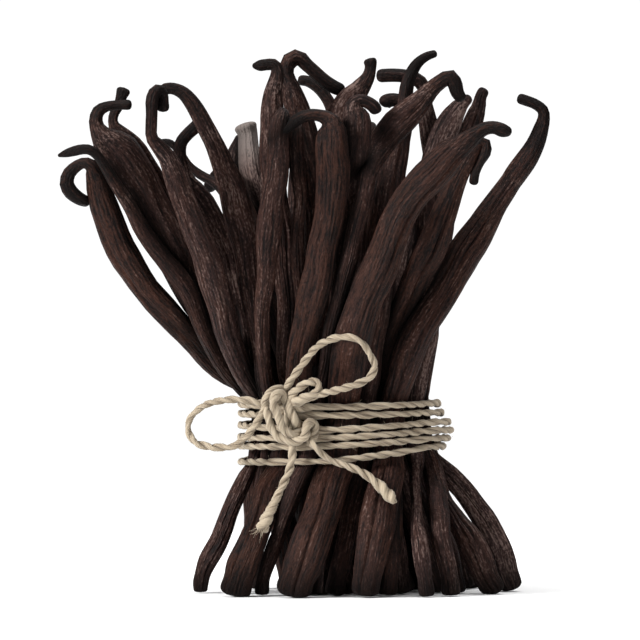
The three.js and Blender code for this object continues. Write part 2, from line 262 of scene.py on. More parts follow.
class Graph:
    """A node tree that is written as expressions."""

    def __init__(self, tree):
        self.tree = tree
        tree.nodes.clear()

    def node(self, kind, settings=None, sockets=None, output=0):
        """Adds a node of a type, with its settings first and then its sockets' values or links, and gives
        one of its outputs."""
        node = self.tree.nodes.new(kind)
        for key, value in (settings or {}).items():
            setattr(node, key, value)
        for key, value in (sockets or {}).items():
            if isinstance(value, Value):
                self.tree.links.new(value.socket, node.inputs[key])
            else:
                node.inputs[key].default_value = value
        return Value(self, node.outputs[output]) if node.outputs else None

    def attribute(self, name, output="Fac"):
        return self.node("ShaderNodeAttribute", {"attribute_name": name}, output=output)

    def noise(self, vector, repeats, detail=2.0, roughness=0.5):
        """Noise that repeats so many times in a metre along each axis of the vector."""
        vector = self.node("ShaderNodeVectorMath", {"operation": "MULTIPLY"}, {0: vector, 1: repeats})
        sockets = {"Vector": vector, "Scale": 1.0, "Detail": detail, "Roughness": roughness}
        return self.node("ShaderNodeTexNoise", {}, sockets, "Fac")

    def bump(self, height, distance):
        return self.node("ShaderNodeBump", {}, {"Strength": 1.0, "Distance": distance, "Height": height})

    def mix(self, factor, first, second):
        """From the first colour to the second."""
        sockets = {0: factor, 6: first, 7: second}
        return self.node("ShaderNodeMix", {"data_type": "RGBA"}, sockets, 2)


def colour(value):
    """A colour setting as a socket takes it."""
    return (*value, 1.0)


def surface(graph, base, roughness, normal, constants):
    """Ends a graph in one Principled surface."""
    sockets = {"Base Color": base, "Roughness": roughness, **constants}
    if normal is not None:
        sockets["Normal"] = normal
    shader = graph.node("ShaderNodeBsdfPrincipled", {}, sockets)
    graph.node("ShaderNodeOutputMaterial", {}, {"Surface": shader})


def new_material(name):
    material = bpy.data.materials.new(name)
    material.use_nodes = True
    return material, Graph(material.node_tree)


# ---- Settings ----

LENGTH = {"unit": "LENGTH", "precision": 5}
COLOUR = {"subtype": "COLOR", "size": 3}


class PodSettings(bpy.types.PropertyGroup):
    """Sizes and colours of the pods."""

    stations: IntProperty(name="Stations", description="Rings along a visible pod", default=80, min=24)
    sides: IntProperty(name="Sides", description="Corners of a visible pod's ring", default=120, min=12)
    fill_stations: IntProperty(
        name="Fill stations", description="Rings along a filling pod", default=72, min=24
    )
    fill_sides: IntProperty(
        name="Fill sides", description="Corners of a filling pod's ring", default=56, min=12
    )
    flatness: FloatProperty(
        name="Flatness", description="Thickness over width", default=0.86, subtype="FACTOR", min=0.3, max=1
    )
    gap: FloatProperty(
        name="Gap", description="Clearance between touching pods", default=0.00012, **LENGTH
    )
    wrinkle_depth: FloatProperty(
        name="Wrinkle depth", description="Depth of the lengthwise wrinkles", default=0.00028, **LENGTH
    )
    fold_depth: FloatProperty(
        name="Fold depth", description="Depth of the few deep folds", default=0.00085, **LENGTH
    )
    unevenness: FloatProperty(
        name="Unevenness", description="How much the width changes", default=0.035, subtype="FACTOR"
    )
    wobble: FloatProperty(
        name="Wobble", description="How far a pod's line strays sideways", default=0.0003, **LENGTH
    )
    # The valleys' colour is partly the skin's own dark streaks and partly painted shade in the wrinkles.
    dark: FloatVectorProperty(
        name="Dark", description="Colour of the valleys", default=(0.0032, 0.0014, 0.0011), **COLOUR
    )
    brown: FloatVectorProperty(
        name="Brown", description="Colour of the warm streaks", default=(0.038, 0.0145, 0.009), **COLOUR
    )
    plum: FloatVectorProperty(
        name="Plum", description="Colour of the cool streaks", default=(0.029, 0.0137, 0.0121), **COLOUR
    )
    # The pale crests are partly a worn grey bloom and partly a painted highlight, most at the neck.
    bloom_and_highlight: FloatVectorProperty(
        name="Bloom and highlight", description="Colour of the worn crests", default=(0.15, 0.102, 0.088), **COLOUR
    )
    pale: FloatVectorProperty(
        name="Pale", description="Colour of a withered end", default=(0.16, 0.143, 0.132), **COLOUR
    )
    # Near-black painted shade between pods, also used for the darker end of a foot.
    gap_shade_colour: FloatVectorProperty(
        name="Gap shade colour", description="Colour between pods", default=(0.0016, 0.0009, 0.0008), **COLOUR
    )


class TwineSettings(bpy.types.PropertyGroup):
    """Sizes and colours of the twine."""

    diameter: FloatProperty(
        name="Diameter", description="Thickness of the two plies together", default=0.0024, **LENGTH
    )
    pitch: FloatProperty(
        name="Pitch", description="Length in which a ply goes once round", default=0.0096, **LENGTH
    )
    step: FloatProperty(name="Step", description="Length between rings", default=0.00072, **LENGTH)
    sides: IntProperty(name="Sides", description="Corners of a ply's ring", default=14, min=6)
    hairs: IntProperty(name="Hairs", description="Loose fibres along the twine", default=640, min=0)
    hair_length: FloatProperty(name="Hair length", description="Longest fibre", default=0.0018, **LENGTH)
    light: FloatVectorProperty(
        name="Light", description="Colour of the fibres on top", default=(0.4, 0.33, 0.24), **COLOUR
    )
    shade: FloatVectorProperty(
        name="Shade", description="Colour between the fibres", default=(0.15, 0.11, 0.072), **COLOUR
    )


class StageSettings(bpy.types.PropertyGroup):
    """The floor and the camera."""

    floor: FloatProperty(name="Floor", description="Width of the floor", default=0.9, **LENGTH)
    floor_colour: FloatVectorProperty(
        name="Floor colour", description="Colour of the floor", default=(0.94, 0.94, 0.94), **COLOUR
    )
    distance: FloatProperty(
        name="Distance", description="From the camera to its aim", default=2.0, **LENGTH
    )
    elevation: FloatProperty(
        name="Elevation", description="Angle above level", default=math.radians(0.5), subtype="ANGLE"
    )
    width: FloatProperty(name="Width", description="Width seen at the aim", default=0.20077, **LENGTH)
    aim: FloatVectorProperty(
        name="Aim", description="Where the camera looks", default=(-0.0075, 0, 0.0853), subtype="XYZ", size=3
    )


# ---- What the camera sees ----

# What can be seen is placed in the camera's view of 640 by 640: how far across from the left and down from
# the top, with the depth, which is Y, in millimetres.
VIEW_MIDDLE = 320
VIEW_SCALE = 0.3137  # millimetres for one step of the view, at depth 0
VIEW_AIM = (-7.5, 85.3)  # X and Z at the view's middle
VIEW_DISTANCE = 2000
VIEW_SLOPE = 0.0087


def seen(across, down, depth, width=0):
    """X, Y, Z and the width, in millimetres, of what is at a place in the view, at a depth, and so wide
    there, and a 1 for being seen. The scale grows evenly with the distance from the camera, and nothing is
    below the ground."""
    scale = VIEW_SCALE * (VIEW_DISTANCE + depth) / VIEW_DISTANCE
    height = VIEW_AIM[1] + (VIEW_MIDDLE - down) * scale - depth * VIEW_SLOPE
    return VIEW_AIM[0] + (across - VIEW_MIDDLE) * scale, depth, max(0.0, height), width * scale, 1


def tenths(rows):
    """Rows of millimetres, rounded to a tenth."""
    return [[round(float(value), 1) for value in row] for row in rows]


# ---- The twine's route ----

# The free stretches, point by point in the camera's view: loops from the knot out and back, tails from the
# knot to their ends.
LOOP_LEFT = [
    (258, 403, -27.5), (248, 400.5, -27), (234, 399.5, -26), (219, 401, -25), (206, 404.5, -23.5),
    (196, 411.5, -22), (189, 421, -21.5), (189, 433, -21.5), (195, 442, -22), (207, 446.5, -23),
    (221, 447.5, -24.5), (234, 446, -26), (244, 439, -27.5), (252, 429.5, -28.5), (259, 419.5, -29),
    (264, 410.5, -29),
]
LOOP_TOP = [
    (284, 392, -28.8), (290.5, 380.5, -31), (299, 369, -32.5), (308, 357, -34), (318, 346, -36),
    (333, 338.5, -39), (349, 337, -42), (361, 342, -42), (369.5, 354, -39.5), (374.5, 367, -37.5),
    (369, 378, -37), (357, 384, -37.5), (341, 389, -37), (325, 393, -35.5), (310, 397.5, -33.5),
    (298, 402.5, -31.5),
]
LOOP_SMALL = [
    (290, 400, -30.5), (294, 392.5, -32.5), (302, 386, -33.8), (311, 381.5, -34.5), (318.5, 384, -35),
    (318, 391, -35.3), (309.5, 395.5, -34.8), (300, 399.5, -33.5), (292.5, 404.5, -31),
]
TAIL_LEFT = [
    (292, 447, -30.5), (292, 456, -31), (291, 465, -31), (286.5, 477, -31.5), (280, 491, -33),
    (274, 504, -34.5), (267.5, 517, -36), (261, 531, -37),
]
TAIL_RIGHT = [
    (316, 448, -32.8), (325, 456.5, -32), (336, 462.5, -31.8), (348, 466.5, -32), (362, 472.5, -32.2),
    (375, 482, -33), (386, 492.5, -34.2), (395, 503, -35.5),
]

# Inside the knot: up from the left tail, across to the left loop, the wraps round the knot, out to the turns,
# and from the last turn down to the right tail.
KNOT_RISE = [
    (290, 437, -28.5), (285, 425, -27.6), (281, 411, -27.4), (281, 400, -27.8),
]
KNOT_ACROSS = [
    (289, 407, -28.8), (277, 408, -27.2), (267, 404.5, -27.2),
]
KNOT_WRAPS = [
    (264.5, 401, -30), (268, 394.5, -31.5), (275, 389.5, -31.2), (282, 389, -28.8), (286, 395, -26.6),
    (290, 408, -26.4), (297, 422, -26.8), (303, 429, -29), (298, 433.5, -31.2), (290, 434, -32.6),
    (283, 428.5, -33.2), (279, 419, -33.6), (275.5, 409.5, -34), (273, 401.5, -34), (277, 395, -33.2),
    (283, 394.5, -31), (286.5, 401, -31.2), (289.5, 410, -32), (293.5, 418.5, -31.8), (297.5, 426, -30),
    (296.5, 433, -27.6), (289.5, 428, -28.6), (287.5, 415, -29.2), (288, 405.5, -29.4),
]
KNOT_OUT = [
    (298, 408, -29.6),
]
KNOT_DOWN = [
    (263, 405.5, -22.5), (266.5, 406.5, -27.5), (268, 413, -31), (269.5, 421.5, -31.6), (273, 431, -31.6),
    (280, 438, -31.8), (290, 441, -32), (299, 440.5, -32.4), (305.5, 435.5, -33), (306.5, 428, -32.6),
    (310, 422.5, -31.4), (314.5, 426, -30.5), (314.5, 434, -30.8), (310.5, 441, -32),
]

# The heights of the turns across the front, from the left end to the right, and the angles where they hold.
TURN_ANGLES = np.radians([180, 262.8, 326.7, 360])
TURN_HEIGHTS = [
    (0.0590, 0.0586, 0.0594, 0.0592),
    (0.0560, 0.0560, 0.0566, 0.0562),
    (0.0525, 0.0515, 0.0536, 0.0534),
    (0.0486, 0.0490, 0.0511, 0.0508),
    (0.0458, 0.0465, 0.0486, 0.0483),
    (0.0408, 0.0419, 0.0459, 0.0457),
]
TURN_ENDS = (-0.0024, -0.0012, 0.0012, 0.0019, 0.0009, -0.0006)  # by which they reach further at the right
POINTS_A_TURN = 24
POINTS_A_STATION = 24  # of the smooth curve through the route
FIRST_ANGLE = math.radians(254)  # where the first turn leaves the knot
LAST_ANGLE = math.radians(218)  # where the last one comes back to it
CROSSING_LIFT = 0.0026  # by which the last turn rides over the others behind


def right_reach(across, height):
    """By how much the turns reach further at a place across the bundle, from 0 at its middle to 1 at its
    right side, and a height."""
    heights = [row[-1] for row in TURN_HEIGHTS]
    return np.interp(height, heights[::-1], TURN_ENDS[::-1]) * np.clip(across, 0, 1) ** 3


def turns():
    """The six turns as points. The angle goes round from the knot by the right, the back and the left. Across
    the front a turn keeps the heights of its row, and behind it sinks to the next row. The last turn climbs
    over the others back to the first row."""
    first, last = FIRST_ANGLE, LAST_ANGLE + 2 * np.pi * len(TURN_HEIGHTS)
    angle = np.linspace(first, last, POINTS_A_TURN * len(TURN_HEIGHTS))
    row = np.floor((angle - np.pi) / (2 * np.pi)).astype(int)
    within = (angle - np.pi) % (2 * np.pi) + np.pi
    rows = np.array(TURN_HEIGHTS)
    heights = np.array([np.interp(within, TURN_ANGLES, one) for one in rows])
    here = heights[row % len(rows), np.arange(len(angle))]
    then = rows[(row + 1) % len(rows), 0]
    behind = smooth(within, 2 * np.pi, 3 * np.pi)
    z = here + (then - here) * behind
    climbing = (row == len(rows) - 1) * np.sin(np.pi * behind) ** 2
    lift = CROSSING_LIFT * climbing
    x = WRAP_X + (WRAP_HALF[0] + lift + right_reach(np.cos(angle), z)) * np.cos(angle)
    y = (WRAP_HALF[1] + lift) * np.sin(angle)
    return np.stack([x, y, z], axis=1)


def twine_route():
    """The whole length: the left tail's end, the top loop, the left loop, the wraps of the knot, the small
    loop, the six turns and the right tail."""
    before = TAIL_LEFT[::-1] + KNOT_RISE + LOOP_TOP + KNOT_ACROSS
    before += LOOP_LEFT + KNOT_WRAPS + LOOP_SMALL + KNOT_OUT
    after = KNOT_DOWN + TAIL_RIGHT
    before, after = (np.array(tenths(seen(*point)[:3] for point in points)) for points in (before, after))
    return np.vstack([before * MM, turns(), after * MM])


def twine_line(step):
    """The twine's middle line with even steps."""
    route = twine_route()
    curve = curve_through(route, POINTS_A_STATION * len(route))
    length = distances(curve)[-1]
    return resampled(curve, np.linspace(0, length, round(length / step)))


# ---- The twine's surface ----

UP = np.array([0.0, 0.0, 1.0])

# A ply's radius and the distance from its middle to the twine's, as shares of the twine's thickness. It is
# wider along the twine's edge than across it, and its surface has two sets of shallow grooves.
PLY_RADIUS = 0.295
PLY_REACH = 0.205
PLY_WIDENING = 1.12
GROOVE_DEPTH = 0.05
GROOVES = ((5, 0.0031), (-3, 0.0043))  # number round the ply, and the length for a radian of their phase

# The shares by which the pull of the turns makes the twine thinner and its pitch longer, and the knot makes
# it thicker and its plies closer.
PULLED_THINNER = 0.08
PULLED_LONGER = 0.45
PULLED_REACH = 0.05  # on both sides of the oval of the turns, as a share of it
TIED_THICKER = 0.5
TIED_CLOSER = 0.3
KNOT_MIDDLE = (-0.0165, -0.030, 0.0555)
KNOT_REACH = (0.0098, 0.008, 0.0105)

# The shares by which the two cut ends swell, each with its place from the very end and its reach.
LEFT_SWELL = 0.9
LEFT_END = (0, 0.011)
RIGHT_SWELL = 0.675
RIGHT_END = (0.0045, 0.005)
CUT = (-0.0002, 0.0012)  # from a very end, between which it is rounded

# Waves along the twine, each with its height and its lengths: in radians for the twist, else in shares.
UNEVEN_TWIST = (0.9, (0.047, 0.021))
UNEVEN_REACH = (0.22, (0.037, 0.019))
PLY_STRAY = (0.06, (0.017, 0.006))
PLY_SWELL = (0.06, (0.011, 0.0041))

PLY_SEED = 5  # of the waves that both plies share
TWINE_SEED = 11
HAIR_WIDTH = 0.00005
HAIR_TAPER = 0.75
TUFT_HAIRS = 26
TUFT_WIDTH = 0.00011
TUFT_LENGTH = (0.0018, 0.0034)
TUFT_SPREAD = 0.00045


def ply_rings(line, settings, phase, rng):
    """One ply: rings whose middle goes round the twine's line once in each pitch. The section is an oval that
    swells and shrinks a little. Given back are the rings, each vertex's place in the pattern, and how far it
    is turned to the other ply, from 0 outside to 1."""
    _, side, front = frames_along(line, UP)
    travelled = distances(line)
    left = travelled[-1] - travelled
    oval = np.linalg.norm((line[:, :2] - (WRAP_X, 0)) / WRAP_HALF, axis=1)
    pulled = bell(oval, 1, PULLED_REACH)
    tied = np.exp(-(((line - KNOT_MIDDLE) / KNOT_REACH) ** 2).sum(axis=1) ** 2)
    loose = LEFT_SWELL * bell(travelled, *LEFT_END) + RIGHT_SWELL * bell(left, *RIGHT_END)
    scale = 1 - PULLED_THINNER * pulled + loose + TIED_THICKER * tied
    shared = np.random.default_rng(PLY_SEED)
    twist = np.cumsum(np.gradient(travelled) / (settings.pitch * (1 + PULLED_LONGER * pulled)))
    turn = 2 * np.pi * twist + phase + wave(travelled, *UNEVEN_TWIST, shared)
    outward = side * np.cos(turn)[:, None] + front * np.sin(turn)[:, None]
    apart = 1 + wave(travelled, *UNEVEN_REACH, shared) + wave(travelled, *PLY_STRAY, rng)
    reach = PLY_REACH * settings.diameter * scale * apart * (1 - TIED_CLOSER * tied)
    middle = line + outward * reach[:, None]
    along, _, _ = frames_along(middle, side[0])
    outward = unit(outward - along * np.sum(outward * along, axis=1)[:, None])
    angle = np.linspace(0, 2 * np.pi, settings.sides, endpoint=False)
    radius = PLY_RADIUS * settings.diameter
    swell = 1 + wave(travelled, *PLY_SWELL, rng)
    ends = np.sqrt(smooth(travelled, *CUT) * smooth(left, *CUT))
    size = (radius * scale * swell * ends)[:, None]
    grooves = 1
    for (count, length), start in zip(GROOVES, (6 * rng.random(), 0)):
        grooves = grooves + GROOVE_DEPTH * np.cos(count * angle + start + travelled[:, None] / length)
    u = np.cos(angle) * size * grooves
    v = PLY_WIDENING * np.sin(angle) * size * grooves
    rings = rings_round(middle, outward, np.cross(along, outward), u, v)
    flat = np.zeros_like(u)
    grain = np.stack([radius * np.cos(angle) + flat, radius * np.sin(angle) + flat], axis=-1)
    grain = np.concatenate([grain, (travelled[:, None] + flat)[..., None] + phase], axis=-1)
    return rings, grain, 0.5 - 0.5 * np.cos(angle) + flat


def hair_rings(start, direction, bend, length, width):
    """A fibre: a thin three-sided tube that leaves its start along a direction, curls towards another with
    the square of the way gone, and narrows."""
    t = np.linspace(0, 1, 6)[:, None]
    line = start + direction * length * t + bend * length * t**2
    _, side, front = frames_along(line, np.array([0.3, 0.5, 0.8]))
    angle = np.linspace(0, 2 * np.pi, 3, endpoint=False)
    size = width * (1 - HAIR_TAPER * t)
    return rings_round(line, side, front, np.cos(angle) * size, np.sin(angle) * size)


def twine_material(settings):
    """Fine fibres along each ply, pale on top and browner and darker where the plies meet, which is painted
    shade, with a dry matt finish.
    """
    material, graph = new_material("twine_fibre")
    grain = graph.attribute("grain", "Vector")
    fine = graph.noise(grain, (3800, 3800, 300), detail=3)
    long = graph.noise(grain, (1700, 1700, 130))
    blotch = graph.noise(grain, (160, 160, 95))
    # Painted shade: the side of a ply turned to the other, by inner, is darker.
    cover = (0.5 * fine + 0.5 * long + 0.35 * blotch - 0.2 * graph.attribute("inner")).step(0.36, 0.76)
    base = graph.mix(cover, colour(settings.shade), colour(settings.light))
    bump = graph.bump(0.55 * fine + 0.6 * long, 0.0006)
    surface(graph, base, 0.82 + 0.12 * fine, bump, {"Specular IOR Level": 0.25, "Sheen Weight": 0.15})
    return material


class VANILLA_OT_twine(bpy.types.Operator):
    """Winds and ties the twine: two plies, with loose fibres and a frayed end"""

    bl_idname = "vanilla.twine"
    bl_label = "Tie the Twine"

    def execute(self, context):
        settings = context.scene.vanilla_twine
        rng = np.random.default_rng(TWINE_SEED)
        line = twine_line(settings.step)
        material = twine_material(settings)
        twist = MeshParts("twine_twist")
        for phase in (0, np.pi):
            rings, grain, inner = ply_rings(line, settings, phase, rng)
            twist.add_tube(rings, grain=grain, inner=inner)
        cord = twist.make(material)
        fibres = self.fibres(line, settings, rng).make(material)
        for piece in (cord, fibres):
            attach(piece, BODY)
        nodes = [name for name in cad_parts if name.startswith("twine_")]
        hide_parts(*nodes)
        return {"FINISHED"}

    def fibres(self, line, settings, rng):
        """Loose fibres at even random places, leaning along the twine, and a tuft at the left tail's end."""
        parts = MeshParts("twine_fibres")
        along, side, front = frames_along(line, UP)
        for i in rng.integers(4, len(line) - 4, settings.hairs):
            turn = rng.random() * 2 * np.pi
            outward = side[i] * np.cos(turn) + front[i] * np.sin(turn)
            start = line[i] + outward * settings.diameter * 0.35
            lean = along[i] * rng.uniform(-1, 1) + outward * rng.uniform(0.3, 0.8)
            curl = rng.normal(0, 0.35, 3)
            length = settings.hair_length * rng.uniform(0.35, 1)
            self.add_hair(parts, start, lean, curl, length, HAIR_WIDTH)
        for _ in range(TUFT_HAIRS):
            start = line[2] + rng.normal(0, TUFT_SPREAD, 3)
            lean = -along[0] + rng.normal(0, 0.33, 3)
            self.add_hair(parts, start, lean, rng.normal(0, 0.3, 3), rng.uniform(*TUFT_LENGTH), TUFT_WIDTH)
        return parts

    def add_hair(self, parts, *shape):
        rings = hair_rings(*shape)
        parts.add_tube(rings, grain=rings, inner=np.zeros(rings.shape[:2]))


# ---- The pods' lines ----

POD_POINTS = 26  # of a pod's smooth curve for each station

# In millimetres, the heights between which a visible pod keeps the depth of its waist, and the heights up to
# which and from which all its stations have their own depths.
TIED_BAND = (41.5, 58.5)
OWN_DEPTHS = (22, 80)


def eased(stations):
    """A visible pod's stations, with the depths of those that are seen near the twine worked out: level
    through the tied band, and in a straight line from there to the nearest stations well away. A station
    given in millimetres has its own depth."""
    stations = np.array([(*station, 0)[:5] for station in stations])
    depth, height, as_seen = stations[:, 1], stations[:, 2], stations[:, 4]
    waist = np.argmin(np.abs(height - WAIST_HEIGHT / MM))
    low = np.flatnonzero(height[:waist] <= OWN_DEPTHS[0])[-1]
    high = waist + 1 + np.flatnonzero(height[waist + 1 :] >= OWN_DEPTHS[1])[0]
    heights = [height[low], *TIED_BAND, height[high]]
    level = np.interp(height, heights, depth[[low, waist, waist, high]])
    near = (np.arange(len(stations)) > low) & (np.arange(len(stations)) < high)
    stations[:, 1] = np.where(near & (as_seen == 1), level, depth)
    return stations[:, :4]


class Pod:
    """One pod: its tone, from 0, cool, to 1, warm, or below 0 with a pale, withered end, and its stations
    from the foot to the stem's end. A station is X, Y, Z and the width there, in millimetres, or seen, with
    its place and its width in the camera's view."""

    def __init__(self, tone, stations, fills=False):
        self.tone = tone
        self.stations = np.array(stations if fills else tenths(eased(stations))) * MM
        self.fills = fills

    def line(self):
        """Places along a smooth curve through the stations, and the half-width at each."""
        curve = curve_through(self.stations, POD_POINTS * len(self.stations))
        return curve[:, :3], np.clip(curve[:, 3] / 2, 0.0003, None)


LEFT = [
    Pod(0.9, [
        (-17, 31, 0, 6.5), (-21, 19.1, 25, 7), (-24.3, 11.2, 49.5, 7.2), seen(236, 392, 2, 23),
        seen(207, 355, -6, 25), seen(175, 320, -12, 27), seen(147.5, 289, -14, 28.5),
        seen(128.5, 260, -17, 29.5), seen(114.5, 232, -20, 29.5), seen(104.5, 208, -23, 28),
        seen(98, 189, -26, 25.5), seen(95, 174, -28, 20), seen(91, 165, -30, 13), seen(85, 162.5, -29, 10),
        seen(77, 167, -28, 11), seen(70, 174, -28, 12.5), seen(67.5, 183, -28, 14),
        seen(71, 191.5, -27, 14.5), seen(78.5, 198, -26, 13), seen(88, 202, -22, 10),
    ]),
    Pod(0.6, [
        (-27, 19, 0, 5.5), (-29, 10.1, 25, 5.5), (-27.6, 4.3, 49.5, 5.4), seen(240, 400, -4, 14),
        seen(229, 379, -8, 15.5), seen(218, 358, -12, 16), seen(206, 335, -14, 16), seen(196, 312, -15, 17),
        seen(186, 291, -17, 18.5), seen(172, 269, -19, 19.5), seen(157, 249, -22, 18.5),
        seen(142, 228, -25, 16), seen(128, 205, -29, 13), seen(115, 184, -32, 11.5),
        seen(105, 168, -35, 10.5), seen(97, 156, -38, 9), seen(90, 150, -40, 9.5), seen(83, 149.5, -40, 9.5),
        seen(75, 151, -40, 9.5), seen(66, 153.5, -40, 7), seen(58.5, 155.8, -40, 2),
    ]),
    Pod(0.45, [
        (2.5, -4, 0, 8.5), (-19.5, 2, 49.5, 8), seen(252, 395, -3, 26), seen(226, 350, -8, 31),
        seen(201, 303, -12, 35), seen(179, 262, -15, 39), seen(161, 228, -18, 41), seen(146, 199, -21, 43),
        seen(134, 177, -24, 45), seen(125, 162, -26, 46.5), seen(117.5, 151, -28, 45),
        seen(110, 143.5, -29, 36), seen(103.5, 137, -30, 24), seen(98, 129, -30, 15.5),
        seen(95.5, 119, -30, 13), seen(98, 110.5, -30, 12), seen(107, 106, -30, 9.5), seen(118, 105, -30, 9),
        seen(131.5, 104.8, -30, 10),
    ]),
    Pod(0.3, [
        (17, 20, 0, 7.5), (-17.3, 7.3, 49.5, 7.5), seen(256, 390, 4, 24), seen(228, 340, 4, 27),
        seen(203, 290, 4, 29), seen(181, 245, 2, 30), seen(163, 208, 0, 31), seen(150, 182, -3, 31),
        seen(139, 162, -5, 29), seen(129, 146, -7, 25), seen(119, 134, -8, 17), seen(112.5, 124, -8, 10),
        seen(113, 115, -8, 9), seen(118, 105, -8, 9.5), seen(121, 96, -8, 11), seen(123, 91, -8, 14),
        seen(124, 87.5, -8, 17),
    ]),
    Pod(0.35, [
        seen(200.5, 594, -8, 13), seen(200.5, 584, -8, 16), seen(202.5, 575, -8, 17),
        seen(207.5, 562, -8, 18.5), seen(216, 545, -9, 18), seen(227.5, 518, -9, 17.5),
        seen(235.5, 500, -9, 17), seen(245.5, 476, -7, 16), seen(251, 455, -5, 16), (-26.6, -3.5, 49.5, 5.6),
        seen(253, 410, -8, 18.5), seen(247, 390, -12, 19.5), seen(241, 370, -15, 20.5),
        seen(234, 347, -18, 23), seen(226, 324, -21, 25.5), seen(218.5, 300, -24, 27.5),
        seen(212, 277, -27, 28.5), seen(203.5, 250, -30, 27), seen(194.5, 228, -33, 26),
        seen(187, 209, -34, 25), seen(181, 191, -35, 23.5), seen(175, 174, -37, 21),
        seen(167, 159, -39, 17.5), seen(157.5, 147, -40, 14.5), seen(150.5, 138, -41, 11.5),
        seen(150, 126, -41, 11), seen(151, 113, -41, 11), seen(152, 101, -41, 12), seen(155.5, 93, -40.5, 12),
        seen(161, 90, -39, 11), seen(164.5, 95, -38, 10.5), seen(164, 103, -38, 11.5),
        seen(163.5, 112, -38, 13.5),
    ]),
    Pod(0.3, [
        (0.5, 6, 0, 7.5), (-19.1, -3.8, 49.5, 7), seen(250, 385, -6, 21), seen(243, 330, -8, 24),
        seen(235, 290, -8, 26), seen(224.5, 256, -8, 30), seen(214.5, 232, -8, 31), seen(205, 212, -9, 30),
        seen(194.5, 195, -10, 27), seen(185, 180, -11, 19.5), seen(181, 166, -12, 15),
        seen(179, 154, -13, 12.5), seen(181, 143, -14, 12), seen(188, 134, -14, 11.5),
        seen(195, 127, -14, 12), seen(202, 119, -13, 12),
    ]),
    Pod(0.4, [
        (21, 24, 0, 6), (-11.1, -1.2, 49.5, 6), seen(264, 380, 8, 18), seen(257, 320, 14, 21),
        seen(248, 265, 18, 21), seen(237, 222, 20, 17), seen(226, 197, 22, 12), seen(214, 183, 23, 9),
        seen(202, 175.5, 24, 8.5), seen(190, 166, 24, 8), seen(180, 152, 24, 7), seen(170, 142.5, 24, 6.5),
        seen(157, 143, 24, 6),
    ]),
    Pod(0.4, [
        (-4.5, -10, 0, 7), (-16.5, -8.3, 49.5, 6), seen(264, 390, -13, 15), seen(259, 335, -17, 19),
        seen(252.5, 290, -19, 24), seen(246, 255, -21, 27), seen(240, 225, -22, 29), seen(234, 200, -23, 29),
        seen(229, 182, -24, 26.5), seen(223, 165, -25, 23), seen(216.5, 148, -26, 20),
        seen(208.5, 131, -26, 17.5), seen(199.5, 115, -26, 16), seen(190, 102, -26, 14.5),
        seen(180, 92.5, -26, 12.5), seen(170, 88.5, -26, 11), seen(160, 90, -26, 11),
    ]),
]
